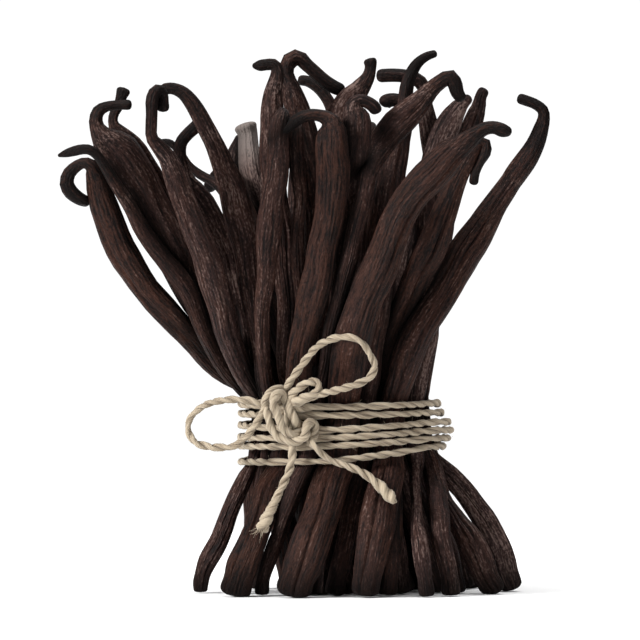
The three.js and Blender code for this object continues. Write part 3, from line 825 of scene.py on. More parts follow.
FRONT = [
    Pod(0.6, [
        (-31.5, -12, 0, 5), (-23.4, -13, 49.5, 4.6), seen(263, 400, -18, 12), seen(263, 350, -24, 14),
        seen(264, 300, -30, 16), seen(266, 260, -34, 21.5), seen(268.5, 230, -37, 25),
        seen(272, 203, -39, 22.5), seen(276.5, 178, -41, 23.5), seen(278.5, 153, -42, 22.5),
        seen(279, 134, -42, 21.5), seen(280, 122, -42, 19), seen(281, 115, -39.5, 13),
        seen(281, 113, -36, 10), seen(281, 118, -32, 9),
    ]),
    Pod(0.65, [
        (-13.5, -26, 0, 5), (-11.5, -17.5, 49.5, 4.2), seen(301, 400, -20, 11), seen(301, 300, -28, 12.5),
        seen(298, 250, -32, 13.5), seen(297.5, 220, -34, 13), seen(298.5, 200, -36, 12),
        seen(297.5, 175, -37, 14.5), seen(297, 150, -37, 15), seen(297, 134, -37, 14),
        seen(298, 125, -35, 10), seen(299, 122, -31, 8), seen(299, 126, -28, 7),
    ]),
    Pod(0.95, [
        seen(233, 597, -31, 30), seen(236, 586, -31, 31.5), seen(242, 566, -31, 31),
        seen(251.5, 541, -31, 29.5), seen(259, 521, -31, 29), seen(266, 500, -30, 28),
        seen(272, 480, -29, 27), seen(277, 463, -26, 27), (-18.4, -17.6, 49.5, 8.2), seen(293, 400, -24, 27),
        seen(298, 375, -28, 27), seen(303, 345, -31, 28), seen(309.5, 315, -34, 30),
        seen(315.5, 285, -37, 31.5), seen(323, 252, -39, 31), seen(329, 225, -41, 30),
        seen(332.5, 200, -42, 31), seen(333.5, 175, -43, 33), seen(332.5, 155, -44, 35),
        seen(332, 140, -44, 34.5), seen(331.5, 129, -44, 29), seen(328, 120, -44, 18),
        seen(320, 116, -44, 12), seen(309, 115, -44, 11.5), seen(299, 118.5, -44, 11.5),
        seen(292, 125, -44, 10.5), seen(286, 130.5, -44, 6.5), seen(283, 132.5, -44, 3),
    ]),
    Pod(0.5, [
        (-10.5, -18, 0, 6.5), (-12, -12, 49.5, 6), seen(290, 390, -18, 18), seen(286, 300, -22, 22),
        seen(281, 240, -24, 24), seen(275.5, 190, -26, 25), seen(272, 150, -26, 25.5),
        seen(271.5, 125, -26, 25), seen(272.5, 108, -26, 22), seen(274.5, 93, -26, 18.5),
        seen(277, 81, -26, 14.5), seen(278.5, 71, -26, 13), seen(275, 65, -26, 11.5),
        seen(267, 64.5, -26, 10.5), seen(260, 65.5, -26, 10), seen(252.5, 66, -26, 3),
    ]),
    Pod(0.4, [
        (5, 6, 0, 7), (-7, -5, 49.5, 7), seen(318, 380, -10, 24), seen(320, 280, -13, 26),
        seen(317, 210, -14, 27), seen(311, 170, -14, 29), seen(304, 138, -13, 28), seen(298.5, 117, -12, 27),
        seen(295, 100, -12, 23.5), seen(291.8, 86, -12, 18), seen(288.5, 75, -12, 13),
        seen(288, 66, -12, 14.5), seen(292, 59, -12, 16.5), seen(299, 57.5, -12, 15), seen(305, 63, -12, 13),
        seen(313.5, 71, -12, 12.5), seen(323, 80, -12, 13), seen(333, 87, -12, 13), seen(344, 91, -12, 12),
    ]),
    Pod(0.4, [
        (-8, -20, 0, 7), (-3.5, -14.5, 49.5, 7), seen(334, 385, -20, 24), seen(341, 320, -26, 27),
        seen(346, 260, -30, 28), seen(350.5, 210, -33, 27), seen(353, 175, -35, 27), seen(355, 150, -37, 27),
        seen(355.5, 130, -38, 27), seen(355, 118, -38, 26), seen(353.5, 109, -38, 20),
        seen(356, 102.5, -38, 15), seen(362.5, 100.5, -38, 12), seen(370, 103, -38, 12),
        seen(375.5, 107.5, -38, 12.5), seen(377, 113, -37, 12),
    ]),
    Pod(0.4, [
        (-3, -2, 0, 8), (-2, -6.5, 49.5, 8), seen(333, 350, -8, 28), seen(336, 250, -10, 30),
        seen(337, 180, -12, 31), seen(338, 145, -13, 31), seen(340, 125, -14, 31), seen(344, 111, -14, 29),
        seen(352, 98, -14, 25), seen(361, 86, -14, 17.5), seen(367.5, 77, -14, 13), seen(370, 68, -14, 11),
        seen(370, 62.5, -14, 13), seen(369, 58, -14, 17),
    ]),
    Pod(0.6, [
        seen(262, 596, -28, 11), seen(262.5, 585, -28, 14), seen(266, 570, -28, 14.5),
        seen(275, 543, -28, 15), seen(284.5, 515, -28, 16.5), seen(295, 490, -28, 17.5),
        seen(305, 466, -27, 17.5), (-10.3, -21.4, 49.5, 5.8), (-8.1, -22, 60.1, 5.9),
        (-5.6, -26.7, 71.6, 5.9), (-3.5, -34, 82.5, 5.6), (-1.6, -37, 91.8, 5.2), (0.5, -38.5, 101, 5.2),
        (2.4, -39, 109.7, 5.2), (4.5, -39, 118.9, 5.2), (6.1, -38, 125.7, 5.6), (7.6, -36, 131.9, 6.4),
        (10.1, -34, 137.5, 7.6), seen(387, 135, -32, 29), seen(398, 121, -32, 31), seen(411, 109.5, -31, 27),
        seen(423, 98.5, -29, 21), seen(433, 88, -28, 16), seen(443, 80.5, -28, 14),
        seen(450.5, 77, -28, 14.5), seen(455.5, 84, -28, 14), seen(458, 93, -28, 12.5),
        seen(464, 101, -28, 10),
    ]),
    Pod(0.4, [
        seen(334, 596, -25, 19), seen(338, 577, -25, 21), seen(345, 550, -25, 20), seen(352, 520, -25, 20),
        seen(358, 490, -23, 20), seen(361, 466, -20, 20), (4.6, -15.5, 49.5, 6.4), seen(366, 400, -18, 22),
        seen(372, 350, -22, 26), seen(378, 290, -24, 28), seen(381, 245, -23, 29), seen(385, 212, -21, 30),
        seen(390, 180, -18, 31), seen(393.5, 160, -16, 29), seen(397, 142, -15, 26),
        seen(400.5, 127, -14, 24), seen(404, 113, -14, 18), seen(405, 100, -14, 14), seen(408, 86, -14, 13),
        seen(413, 73, -14, 11.5), seen(419, 63, -14, 10), seen(427, 56.5, -14, 8.5), seen(437, 53, -14, 6.5),
    ]),
    Pod(0.8, [
        seen(292, 598, -37, 38), seen(295, 586, -37, 40), seen(304, 561, -36, 39), seen(312, 540, -36, 38),
        seen(319, 520, -35, 38), seen(326, 500, -34, 38), seen(333, 480, -32, 38), seen(338, 463, -29, 37),
        (-1, -22.6, 49.5, 11), seen(343, 402, -27, 35), seen(348, 370, -32, 37.5), seen(354.5, 335, -36, 39),
        seen(364, 305, -39, 38.5), seen(374.5, 278, -41, 36.5), seen(386, 250, -42, 34),
        seen(398, 222, -43, 33), seen(410, 201, -44, 33.5), seen(423, 183, -45, 33.5),
        seen(438, 167, -46, 32), seen(452, 153, -46, 28.5), seen(464, 143, -46, 22),
        seen(475, 134.5, -46, 16), seen(485, 128.5, -46, 13), seen(495, 127.5, -46, 12.5),
        seen(503.5, 130.5, -46, 13), seen(512, 132.5, -46, 7),
    ]),
]
RIGHT = [
    Pod(0.8, [
        seen(387, 596, -29, 19), seen(389, 570, -29, 20), seen(392, 530, -28, 19), seen(393, 495, -26, 19),
        seen(388, 463, -20, 20), (9.5, -12.5, 49.5, 6.4), seen(376, 398, -16, 22), seen(386, 355, -20, 26),
        seen(397, 322, -22, 28), seen(409, 293, -24, 29), seen(421, 267, -26, 30), seen(431, 246, -28, 30),
        seen(441, 222, -30, 28), seen(449, 202, -31, 25), seen(456.5, 182, -32, 22),
        seen(463, 166, -33, 19.5), seen(469.5, 152, -33, 16), seen(477, 143, -33, 12.5),
        seen(484, 143.5, -33, 11.5), seen(484.5, 152, -33, 12), seen(479.5, 163, -33, 9.5),
        seen(475.5, 173, -33, 9), seen(474, 185, -33, 9.5),
    ]),
    Pod(0.75, [
        seen(364, 597, -36, 28), seen(366.5, 578, -36, 31), seen(371, 552, -36, 33.5),
        seen(377, 525, -36, 35.5), seen(383, 503, -35, 36), seen(388, 482, -32, 34), seen(391, 463, -28, 31),
        (14.2, -18.4, 49.5, 8.6), seen(394, 402, -22, 27), seen(402, 375, -24, 29), seen(412, 350, -25, 30),
        seen(425, 322, -25, 30), seen(439, 298, -24, 32), seen(452.5, 275, -23, 33),
        seen(465.5, 254, -22, 33), seen(474.5, 240, -21, 32), seen(484, 225, -20, 29.5),
        seen(495, 207, -18, 25), seen(506, 190, -16, 22.5), seen(516, 175, -15, 22), seen(526, 160, -15, 21),
        seen(533, 146, -14, 18), seen(540, 130, -14, 15.5), seen(544.5, 118, -14, 12),
        seen(544, 110.5, -14, 11), seen(537, 104.5, -14, 10), seen(527, 100.5, -14, 10),
        seen(518, 97.5, -14, 9.5),
    ]),
    Pod(0.15, [
        seen(427.5, 598, -35, 12), seen(426, 586, -35, 15.5), seen(423, 566, -35, 17),
        seen(419.5, 545, -35, 15.5), seen(417, 522, -35, 12), seen(416.5, 500, -33, 10.5),
        seen(417, 480, -28, 12), seen(418, 463, -22, 14), (21.5, -11, 49.5, 6), seen(413, 402, -14, 21),
        seen(418, 370, -13, 25), seen(424, 335, -12, 27), seen(428, 300, -12, 27), seen(429, 260, -12, 27),
        seen(429, 220, -12, 27), seen(431, 185, -12, 27), seen(435, 157, -12, 26), seen(440, 138, -12, 24),
        seen(449, 122, -12, 24), seen(457, 110, -12, 18.5), seen(464, 102, -12, 12.5), seen(471, 97, -12, 8),
    ]),
    Pod(0.5, [
        seen(451, 598, -28, 17), seen(450, 581, -28, 19), seen(445.5, 558, -28, 19.5),
        seen(440, 535, -28, 20), seen(437.5, 510, -26, 20), seen(437, 485, -22, 21), seen(435, 462, -16, 20),
        (24.2, -6.5, 49.5, 6), seen(418, 400, -8, 21), seen(424, 350, -4, 23), seen(430, 300, -2, 24),
        seen(434, 250, 0, 23), seen(443.5, 210, 1, 22), seen(453, 180, 1, 22), seen(462, 155, 2, 21),
        seen(469, 135, 2, 20), seen(474.5, 118, 2, 18.5), seen(478.3, 106, 2, 14), seen(480, 97, 2, 11),
        seen(482, 92, 2, 11), seen(484, 88.5, 2, 12.5),
    ]),
    Pod(0.4, [
        seen(498, 595, -14, 22), seen(489, 581, -14, 26), (42.2, -14, 10.7, 8.6), (39.1, -14, 16.9, 8),
        (35, -10.7, 23.1, 5.8), (31.5, -7.5, 29.2, 4.6), (30.4, -3.4, 37, 4.7), seen(438, 455, -5, 16),
        (25, -1, 49.5, 5.8), seen(418, 400, 4, 20), seen(419, 350, 5, 22), seen(424, 300, 6, 23),
        seen(428, 250, 7, 23), seen(435, 200, 7, 22), seen(443, 160, 6, 19), seen(449, 138, 5, 15),
        seen(454, 122, 5, 10), seen(460, 110, 5, 8), seen(467, 101, 5, 7),
    ]),
    Pod(0.3, [
        (17.5, -16, 0, 7.5), (11.5, -6.5, 49.5, 7), seen(383, 390, -8, 22), seen(400, 330, -8, 25),
        seen(412, 260, -6, 26), seen(426, 200, -5, 25), seen(435.5, 160, -4, 23), seen(431.5, 136, -4, 21),
        seen(426.5, 118, -4, 18), seen(424, 103, -4, 15.5), seen(425, 92, -4, 13.5), seen(420, 82, -4, 13),
        seen(408, 77, -4, 12.5), seen(393, 75.5, -4, 12.5), seen(376, 76, -4, 12.5),
    ]),
    Pod(0.3, [
        (30, -8, 0, 7.5), (14, -1, 49.5, 7), seen(386, 390, 4, 22), seen(396, 330, 8, 24),
        seen(412, 250, 12, 24), seen(427, 190, 14, 22), seen(434, 155, 14, 20), seen(430, 132, 14, 18),
        seen(421, 116, 14, 15), seen(411, 106, 14, 12.5), seen(400, 101, 14, 12), seen(391, 100, 14, 13),
        seen(385, 102.5, 14, 14), seen(382, 106, 14, 11),
    ]),
]
BACK = [
    Pod(0.4, [
        (24, 20, 0, 7), (1, 7, 49.5, 6.5), (1, 20, 80, 8), seen(340, 220, 32, 25), seen(338, 160, 38, 22),
        seen(336, 135, 39, 19), seen(333, 116, 40, 15), seen(328.5, 104, 40, 12), seen(323, 94, 40, 11),
        seen(317, 86, 40, 11), seen(308, 81, 40, 10), seen(299, 80.5, 40, 9.5),
    ]),
    Pod(-1.8, [
        seen(513, 591, 2, 20), seen(509.5, 583, 2, 24), (50.4, 2, 7.4, 7.9), (49, 2, 12.4, 7.6),
        (46.6, 1, 17.5, 7.6), (43.8, 1.9, 23.2, 7.4), (40.2, 2.8, 28.6, 7.2), (36.5, 3.8, 34.2, 6.9),
        (33.6, 4.7, 39.5, 5.8), (24.5, 5, 49.5, 6.2), seen(402, 390, 12, 20), seen(372, 340, 20, 24),
        seen(330, 290, 28, 26), seen(285, 240, 36, 26), seen(259, 200, 41, 24), seen(253, 172, 43, 25),
        seen(251, 158, 44, 23), seen(249.5, 146, 45, 20), (-30.4, 46, 144.6, 6), (-31, 46, 146.5, 7),
        (-31.6, 46, 148.2, 8.4),
    ]),
    Pod(0.2, [
        (39, 18, 0, 7), (29.5, 14.5, 27, 7), (21, 12, 49.5, 6.5), seen(390, 385, 22, 20),
        seen(350, 340, 30, 24), seen(300, 285, 37, 25), seen(258, 225, 42, 25), seen(241, 180, 45, 23),
        seen(236, 158, 46, 19), seen(237, 148, 47, 13), seen(239, 141, 48, 9), seen(240, 138, 52, 8),
    ]),
]

# The pods that fill the middle and the back: the oval and the angle, from +X round by +Y in degrees, where
# each crosses the waist, and its shoulder, where the stem starts, in millimetres.
FILL_ROWS = [
    (OUTER, 56, (14, 44, 132)),
    (OUTER, 75, (0, 47, 136)),
    (OUTER, 94, (-14, 48, 134)),
    (OUTER, 113, (-30, 44, 128)),
    (OUTER, 132, (-46, 38, 121)),
    (MIDDLE, 2, (32, 14, 126)),
    (MIDDLE, 26, (28, 26, 122)),
    (MIDDLE, 50, (12, 32, 134)),
    (MIDDLE, 75, (0, 36, 139)),
    (MIDDLE, 100, (-15, 38, 136)),
    (MIDDLE, 126, (-34, 32, 126)),
    (INNER, 0, (24, 6, 120)),
    (INNER, 45, (8, 18, 138)),
    (INNER, 135, (-24, 16, 132)),
    (INNER, 315, (14, -6, 126)),
    (HEART, 90, (-3, 10, 138)),
    (HEART, 270, (-14, -4, 130)),
]

# A filling pod's foot is on an oval on the ground: its middle and half-axes in millimetres, and the angles in
# degrees by which it is turned against the crossing, from pod to pod.
FEET_X = 4.5
FEET_HALF = (46, 38)
FEET_TURN = (-26, -14)

# A filling pod's stations up to the shoulder: how far from the crossing to the foot, if negative, or to the
# shoulder each one is, first across and then in height, and the width there as a share of the pod's.
FILL_STATIONS = [
    (-1, -1, 0.72), (-0.3, -0.42, 0.86), (0, 0, 0.8), (0.17, 0.25, 0.95), (0.52, 0.6, 1), (0.86, 0.86, 0.95),
    (1, 1, 0.5),
]

# The least and the most of what differs between filling pods, in millimetres and degrees: the width, the
# stem's bending radius, its bend, the way it bends, from +X round by +Y, its straight end and the width
# there.
FILL_WIDTH = (8, 9.6)
STEM_RADIUS = (3, 6)
STEM_BEND = (70, 160)
STEM_HEADING = (50, 130)
STEM_END = (3, 8)
STEM_END_WIDTH = (3.2, 5.2)
STEM_WIDTH = 3.7
STEM_SWELL = 0.5
STEM_START = 3  # from the shoulder to the bend
STEM_STEPS = 5


def between(ends, share):
    """From the first end at 0 to the second at 1."""
    return ends[0] + (ends[1] - ends[0]) * share


def on_oval(middle, half, angle, height):
    """A place at a height on an oval round a middle on the X axis."""
    return np.array([middle + half[0] * math.cos(angle), half[1] * math.sin(angle), height])


def fill_pod(i, oval, angle, shoulder):
    """A pod of the middle or the back. Its foot leans out the way it crosses the waist, turned a little. Its
    stem bends backwards in an arc. Sizes that differ from pod to pod come from multiples of irrational
    numbers, taken within 1."""
    u, v, w = (0.2 + 0.618034 * i) % 1, (0.4 + 0.754878 * i) % 1, (0.1 + 0.56984 * i) % 1
    feet = np.array(FEET_HALF) * oval[0] / OUTER[0]
    foot = on_oval(FEET_X, feet, math.radians(angle + between(FEET_TURN, v)), 0)
    tie = on_oval(WAIST_X, oval, math.radians(angle), WAIST_HEIGHT) / MM
    shoulder = np.array(shoulder)
    points, widths = [], []
    for across, up, share in FILL_STATIONS:
        end = foot if up < 0 else shoulder
        points.append(tie + (end - tie) * np.abs((across, across, up)))
        widths.append(share * between(FILL_WIDTH, w))
    along = unit(points[-1] - points[-2])
    heading = math.radians(between(STEM_HEADING, v))
    inward = np.array([math.cos(heading), math.sin(heading), 0])
    inward = unit(inward - along * (inward @ along))
    radius, bend = between(STEM_RADIUS, w), math.radians(between(STEM_BEND, u))
    start = shoulder + along * STEM_START
    for turned in np.linspace(0, bend, STEM_STEPS):
        points.append(start + radius * (math.sin(turned) * along + (1 - math.cos(turned)) * inward))
        widths.append(STEM_WIDTH + STEM_SWELL * math.sin(3 * turned + 6 * u))
    points.append(points[-1] + (math.cos(bend) * along + math.sin(bend) * inward) * between(STEM_END, v))
    widths.append(between(STEM_END_WIDTH, u))
    return Pod(v, np.column_stack([points, widths]), fills=True)


GROUPS = {
    "pods_left": LEFT,
    "pods_front": FRONT,
    "pods_right": RIGHT,
    "pods_back": BACK,
    "pods_middle": [fill_pod(i, *row) for i, row in enumerate(FILL_ROWS)],
}

# ---- Packing the pods ----

LEVELS = np.linspace(0, 0.158, 80)
CLOSENESS = 0.9  # share of the two half-widths that touching pods keep apart before they press flat
STEADINESS = 0.3  # how much a visible pod gives way to a filling one, which has 1
SETTLING_ROUNDS = 160
SETTLING_RATE = 0.3
FARTHEST = 0.007  # by which a visible pod may move in depth
SMOOTHING = 2.6  # levels
SHOULDER_ROOM = 0.003  # by which a body still counts above its last level
UNDER_TURNS = 0.0014  # from the middle of a turn to the pods
PRESSED_HALF = 0.85  # of a half-width that pods keep under the turns
NECK_SHARE = 0.62  # of the widest, where the stem starts


def neck_index(half):
    """Where the stem starts: the last place that is over a share of the widest."""
    return np.flatnonzero(half > NECK_SHARE * half.max())[-1]


def body_circles(lines, necks):
    """Each body cut at the levels: the circles' places and half-widths, which are nothing above the neck."""
    place = np.empty((len(LEVELS), len(lines), 2))
    half = np.empty((len(LEVELS), len(lines)))
    for i, ((points, widths), neck) in enumerate(zip(lines, necks)):
        z = points[: neck + 1, 2]
        for axis in (0, 1):
            place[:, i, axis] = np.interp(LEVELS, z, points[: neck + 1, axis])
        half[:, i] = np.interp(LEVELS, z, widths[: neck + 1]) * (LEVELS <= z[-1] + SHOULDER_ROOM)
    return place, half


def settled(pods):
    """The centre lines with the pods moved apart. Each body is cut at a row of heights into circles. Where
    two circles overlap, a visible pod moves only in depth, and a filling one any way. Moves are smoothed
    along the height by a bell curve, so that lines stay smooth, and at the waist the circles stay within the
    twine's oval. A stem moves with its shoulder."""
    lines = [pod.line() for pod in pods]
    necks = [neck_index(half) for _, half in lines]
    start, half = body_circles(lines, necks)
    fills = np.array([pod.fills for pod in pods])
    free = np.stack([fills * 1.0, np.ones(len(pods))], axis=1)
    weight = np.where(fills, 1.0, STEADINESS)
    either_fills = fills[:, None] | fills[None, :]
    share = np.where(either_fills, weight[:, None] / (weight[:, None] + weight[None, :]), 0.5)
    both = (half[:, :, None] > 0) & (half[:, None, :] > 0) & ~np.eye(len(pods), dtype=bool)
    want = CLOSENESS * (half[:, :, None] + half[:, None, :]) * both
    order = np.arange(len(LEVELS))
    bells = np.exp(-(((order[:, None] - order[None, :]) / SMOOTHING) ** 2) / 2)
    bells /= bells.sum(axis=1, keepdims=True)
    in_band = ((LEVELS > WRAP_LOW + 0.001) & (LEVELS < WRAP_HIGH + 0.001))[:, None, None]
    reach = np.stack([axis - UNDER_TURNS - PRESSED_HALF * half for axis in WRAP_HALF], axis=-1)
    place = start.copy()
    for _ in range(SETTLING_ROUNDS):
        gaps = place[:, :, None] - place[:, None]
        apart = np.linalg.norm(gaps, axis=-1) + 1e-9
        over = np.clip(want - apart, 0, None)
        depth = np.sqrt(np.clip(want**2 - gaps[..., 0] ** 2, 0, None)) - np.abs(gaps[..., 1])
        depth = np.clip(depth, 0, None) * (over > 0)
        push_x = np.where(either_fills, over * gaps[..., 0] / apart, 0)
        push_y = np.where(either_fills, over * gaps[..., 1] / apart, depth * np.sign(gaps[..., 1]))
        push = np.stack([(push_x * share).sum(axis=2), (push_y * share).sum(axis=2)], axis=-1) * free
        oval = np.linalg.norm((place - (WRAP_X, 0)) / reach, axis=-1, keepdims=True)
        push += in_band * (place - (WRAP_X, 0)) * (1 / np.maximum(oval, 1) - 1)
        place += SETTLING_RATE * np.einsum("ab,bnc->anc", bells, push)
        moved = place - start
        moved[:, ~fills, 1] = np.clip(moved[:, ~fills, 1], -FARTHEST, FARTHEST)
        place = start + moved
    result = []
    for i, ((points, widths), neck) in enumerate(zip(lines, necks)):
        z = np.where(np.arange(len(points)) <= neck, points[:, 2], points[neck, 2])
        shift = np.stack([np.interp(z, LEVELS, moved[:, i, axis]) for axis in (0, 1)], axis=1)
        result.append((points + np.pad(shift, ((0, 0), (0, 1))), widths))
    return result


# ---- The pods' skins ----

# Waves along a pod: their lengths in its line and its width, and their height and lengths in its flatness
# and in the turn of its section.
STRAY_WAVES = (0.047, 0.029, 0.017)
SWELL_WAVES = (0.033, 0.019, 0.009)
FLAT_WAVE = (0.08, (0.07, 0.04))
TURN_WAVE = (0.15, (0.11, 0.06))  # radians
EASE = 0.03  # from the foot, in which a line starts to stray

# How a foot ends: a knob whose size differs from pod to pod by a share, and a narrower ankle above it, each
# with its place and reach.
KNOB = (-0.08, 0.14)
KNOB_PLACE = (0.0012, 0.002)
ANKLE = 0.08
ANKLE_PLACE = (0.006, 0.0025)
FIRST_SEED = 100
KNOB_SEEDS = 500

# Both ends of a pod are rounded. Stations crowd near them, by a length over the distance and a second length,
# and where the pod is thin, by 1 over a share and this.
END_ROUNDING = 2.2  # the power of the rounded square
STEM_END_ROUNDING = 0.002
END_CROWDING = (0.011, 0.0006)
THIN_CROWDING = 0.25
FINE_STEPS = 2000

NECK_FADE = 0.004  # on both sides of where the stem starts
TIP_LENGTH = 0.012  # at least, from the neck to the full colour of the stem's end
STEM_FLATNESS = 0.97
CORNER_DEPTH = 0.045  # of the three soft corners of a section, as a share of it

# The wrinkles: ridges along the pod, a few deep folds, and fine creases across the neck.
RIDGES = ((0.0027, 0.7), (0.0014, 0.75))  # spacing, and depth as a share of the wrinkles' depth
RIDGE_SWAY = 1.6  # radians
RIDGE_BENDS = ((1, 2.2), (2, 1.5), (3, 1.2), (5, 1.0), (8, 0.6))  # number round the pod, and radians
FOLDS = 6
FOLD_WIDTH = (0.08, 0.16)  # radians
FULL_HALF = 0.0042  # the half-width at which wrinkles have their stated depth
CREASE_DEPTH = 0.00012
CREASE_LENGTH = 0.00034  # for a radian of their phase

# What cuts the skin back: other pods, which are looked at or press within a share of the two half-widths and
# a room, the turns of the twine, its free stretches and the ground. The powers set how sharp the cuts are.
NEIGHBOUR_SHARE = 1.25
NEIGHBOUR_ROOM = 0.004
PRESS_ROOM = 0.001
THINNEST = 0.0004  # half-width that still presses
PRESS_POWER = 14
TURNS_POWER = 24
TURNS_OPENING = (0.03, 0.015)  # heights in which the oval opens by 1, evenly and by the square
CUT_HALF = 0.3  # of a half-width that always stays
UNSUNK = 0.35  # of a section that no wrinkle takes away
SKIN_UNDER_TURNS = 0.00165  # from the middle of a turn to the skin
SKIN_UNDER_TWINE = 0.00155  # from the middle of a free stretch to the skin
GROUND_EDGE = 0.0004

# What the material reads.
# Painted shade between pods: skin close to another pod's skin is painted near black, fading over this
# distance.
NEAR = (-0.0004, 0.0058)  # from another pod's skin: fully dark at the first, and not at the second
NEAR_POWER = 1.3
# The end of a foot is painted darker over this length: partly its own darker end, partly painted shade near
# the ground.
DARK_FOOT = (0.95, 0.0085)  # how dark, and to what length
WITHERED = (0.024, 0.001)  # from the end, between which a withered end sets in
TONE_RANGE = 0.12  # by which a pod's tone is drawn higher or lower
THINNEST_PATTERN = 0.0016  # half-width under which the pattern stays as wide

# Where the twine is free of the turns: in front of a depth, and below or above them.
ROUTE_STEP = 0.0006
FREE_DEPTH = -0.02
FREE_HEIGHTS = (0.0385, 0.0615)


def round_end(distance, reach):
    """A quarter of a rounded square: steep at the very end, level at the reach."""
    t = 1 - np.clip(distance / reach, 0, 1)
    return np.clip(1 - t**END_ROUNDING, 0, 1) ** (1 / END_ROUNDING)


class Strand:
    """A settled pod as evenly numbered stations: places, half-widths and directions."""

    def __init__(self, pod, points, widths, stations, seed, settings):
        self.pod = pod
        self.rng = np.random.default_rng(seed)
        points = self.wobbled(points, settings.wobble)
        before = distances(points)
        length = before[-1]
        neck = before[neck_index(widths)]
        fine = np.linspace(0, length, FINE_STEPS)
        half = np.interp(fine, before, widths)
        knob = np.random.default_rng(seed + KNOB_SEEDS).uniform(*KNOB)
        half = half * (1 + knob * bell(fine, *KNOB_PLACE) - ANKLE * bell(fine, *ANKLE_PLACE))
        half = half * round_end(fine, 0.5 * widths[0])
        half = half * round_end(length - fine, min(widths[-1], STEM_END_ROUNDING))
        nearer = END_CROWDING[0] / (END_CROWDING[1] + np.minimum(fine, length - fine))
        crowding = np.cumsum(1 / (THIN_CROWDING + half / half.max()) + nearer)
        share = np.linspace(crowding[0], crowding[-1], stations)
        self.along = np.interp(share, crowding, fine)
        self.places = resampled(points, self.along)
        self.half = np.interp(self.along, fine, half)
        self.stem = smooth(self.along, neck - NECK_FADE, neck + NECK_FADE)
        self.tip = smooth(self.along, neck, max(neck + TIP_LENGTH, length - NECK_FADE))
        across = np.array([self.places[0][1], -self.places[0][0], 0]) if pod.fills else np.array([-1.0, 0, 0])
        self.direction, self.side, self.front = frames_along(self.places, across)

    def wobbled(self, points, reach):
        """The line strays across by slow waves, which start from nothing at the foot."""
        along = distances(points)
        x, y = (wave(along, reach, STRAY_WAVES, self.rng) * smooth(along, 0, EASE) for _ in range(2))
        return points + np.stack([x, y, np.zeros_like(along)], axis=1)


def section(strand, angle, settings):
    """The pod's free section at each station: an oval that turns slowly, a little three-sided, swelling and
    shrinking along the pod."""
    rng, along = strand.rng, strand.along[:, None]
    stem = strand.stem[:, None]
    swell = 1 + wave(along, settings.unevenness, SWELL_WAVES, rng) * (1 - 0.5 * stem)
    wide = strand.half[:, None] * swell + 0.5 * settings.wrinkle_depth
    flat = settings.flatness + wave(along, *FLAT_WAVE, rng)
    flat = flat + (STEM_FLATNESS - flat) * stem
    turned = angle - wave(along, *TURN_WAVE, rng)
    oval = 1 / np.sqrt(np.cos(turned) ** 2 + (np.sin(turned) / flat) ** 2)
    corners = 1 + CORNER_DEPTH * np.cos(3 * angle + 6 * rng.random() + along / 0.05)
    return wide * oval * corners


def wrinkles(strand, angle, settings):
    """How far the skin sinks, and the part of it that is fine. Ridges run along the pod: their phase is a
    count times the angle, bent by slow waves round and along the pod, and the absolute value of its cosine
    gives round crests and sharp valleys. A few deep folds and some cross creases at the neck are added."""
    rng, along = strand.rng, strand.along[:, None]
    stem = strand.stem[:, None]
    round_pod = 2 * np.pi * strand.half.max()
    fine = 0
    for spacing, depth in RIDGES:
        phase = round(round_pod / spacing) * angle + RIDGE_SWAY * np.sin(along / rng.uniform(0.008, 0.02))
        for times, reach in RIDGE_BENDS:
            travel = along / rng.uniform(0.006, 0.03) * rng.choice([-1, 1])
            phase = phase + reach * np.sin(times * angle + travel + 6 * rng.random())
        strength = 0.55 + 0.45 * np.sin(2 * angle + along / 0.011 + 6 * rng.random())
        fine = fine + depth * strength * (1 - np.abs(np.cos(phase / 2)))
    sink = settings.wrinkle_depth * fine
    for _ in range(FOLDS):
        middle = rng.uniform(0, 2 * np.pi) + 0.5 * np.sin(along / rng.uniform(0.02, 0.05) + 6 * rng.random())
        away = np.abs((angle - middle + np.pi) % (2 * np.pi) - np.pi)
        deep = rng.uniform(0.5, 1) * (0.55 + 0.45 * np.sin(along / 0.019 + 6 * rng.random()))
        sink = sink + settings.fold_depth * deep * np.exp(-((away / rng.uniform(*FOLD_WIDTH)) ** 1.4))
    size = np.clip(strand.half / FULL_HALF, 0, 1.25)[:, None]
    crease = np.sin(along / CREASE_LENGTH + 1.5 * np.sin(2 * angle + 3 * along / 0.004))
    crease = CREASE_DEPTH * np.clip(crease, 0, 1) ** 2
    return sink * size * (1 - 0.45 * stem) + crease * 4 * stem * (1 - stem), fine


def neighbours(strand, others):
    """The pods that come near this one: each with its place nearest to each of this one's stations, the way
    to it and how far away it is."""
    found = []
    for other in others:
        way = other.places[None] - strand.places[:, None]
        nearest = np.argmin((way**2).sum(axis=2), axis=1)
        way = way[np.arange(len(nearest)), nearest]
        away = np.linalg.norm(way, axis=1) + 1e-9
        if (away < NEIGHBOUR_SHARE * (strand.half + other.half[nearest]) + NEIGHBOUR_ROOM).any():
            found.append((other, nearest, way / away[:, None], away))
    return found


def gap_shade_and_dark_foot(strand, near, rings):
    """How close each place of the skin is to the other pods' skins, from 1 where it touches to 0 at a
    distance:
    painted shade between pods, which the material turns near black. The darker end of the foot is added,
    partly its own colour and partly painted shade near the ground. The distance is measured square to the
    other's line."""
    dark, height = DARK_FOOT
    deep = dark * bell(strand.along, 0, height)[:, None] + np.zeros(rings.shape[:2])
    for other, nearest, _, _ in near:
        line = other.direction[nearest][:, None]
        way = rings - other.places[nearest][:, None]
        way = way - line * np.sum(way * line, axis=-1, keepdims=True)
        clear = np.linalg.norm(way, axis=-1) - other.half[nearest][:, None]
        deep = np.maximum(deep, (1 - smooth(clear, *NEAR)) ** NEAR_POWER)
    return deep


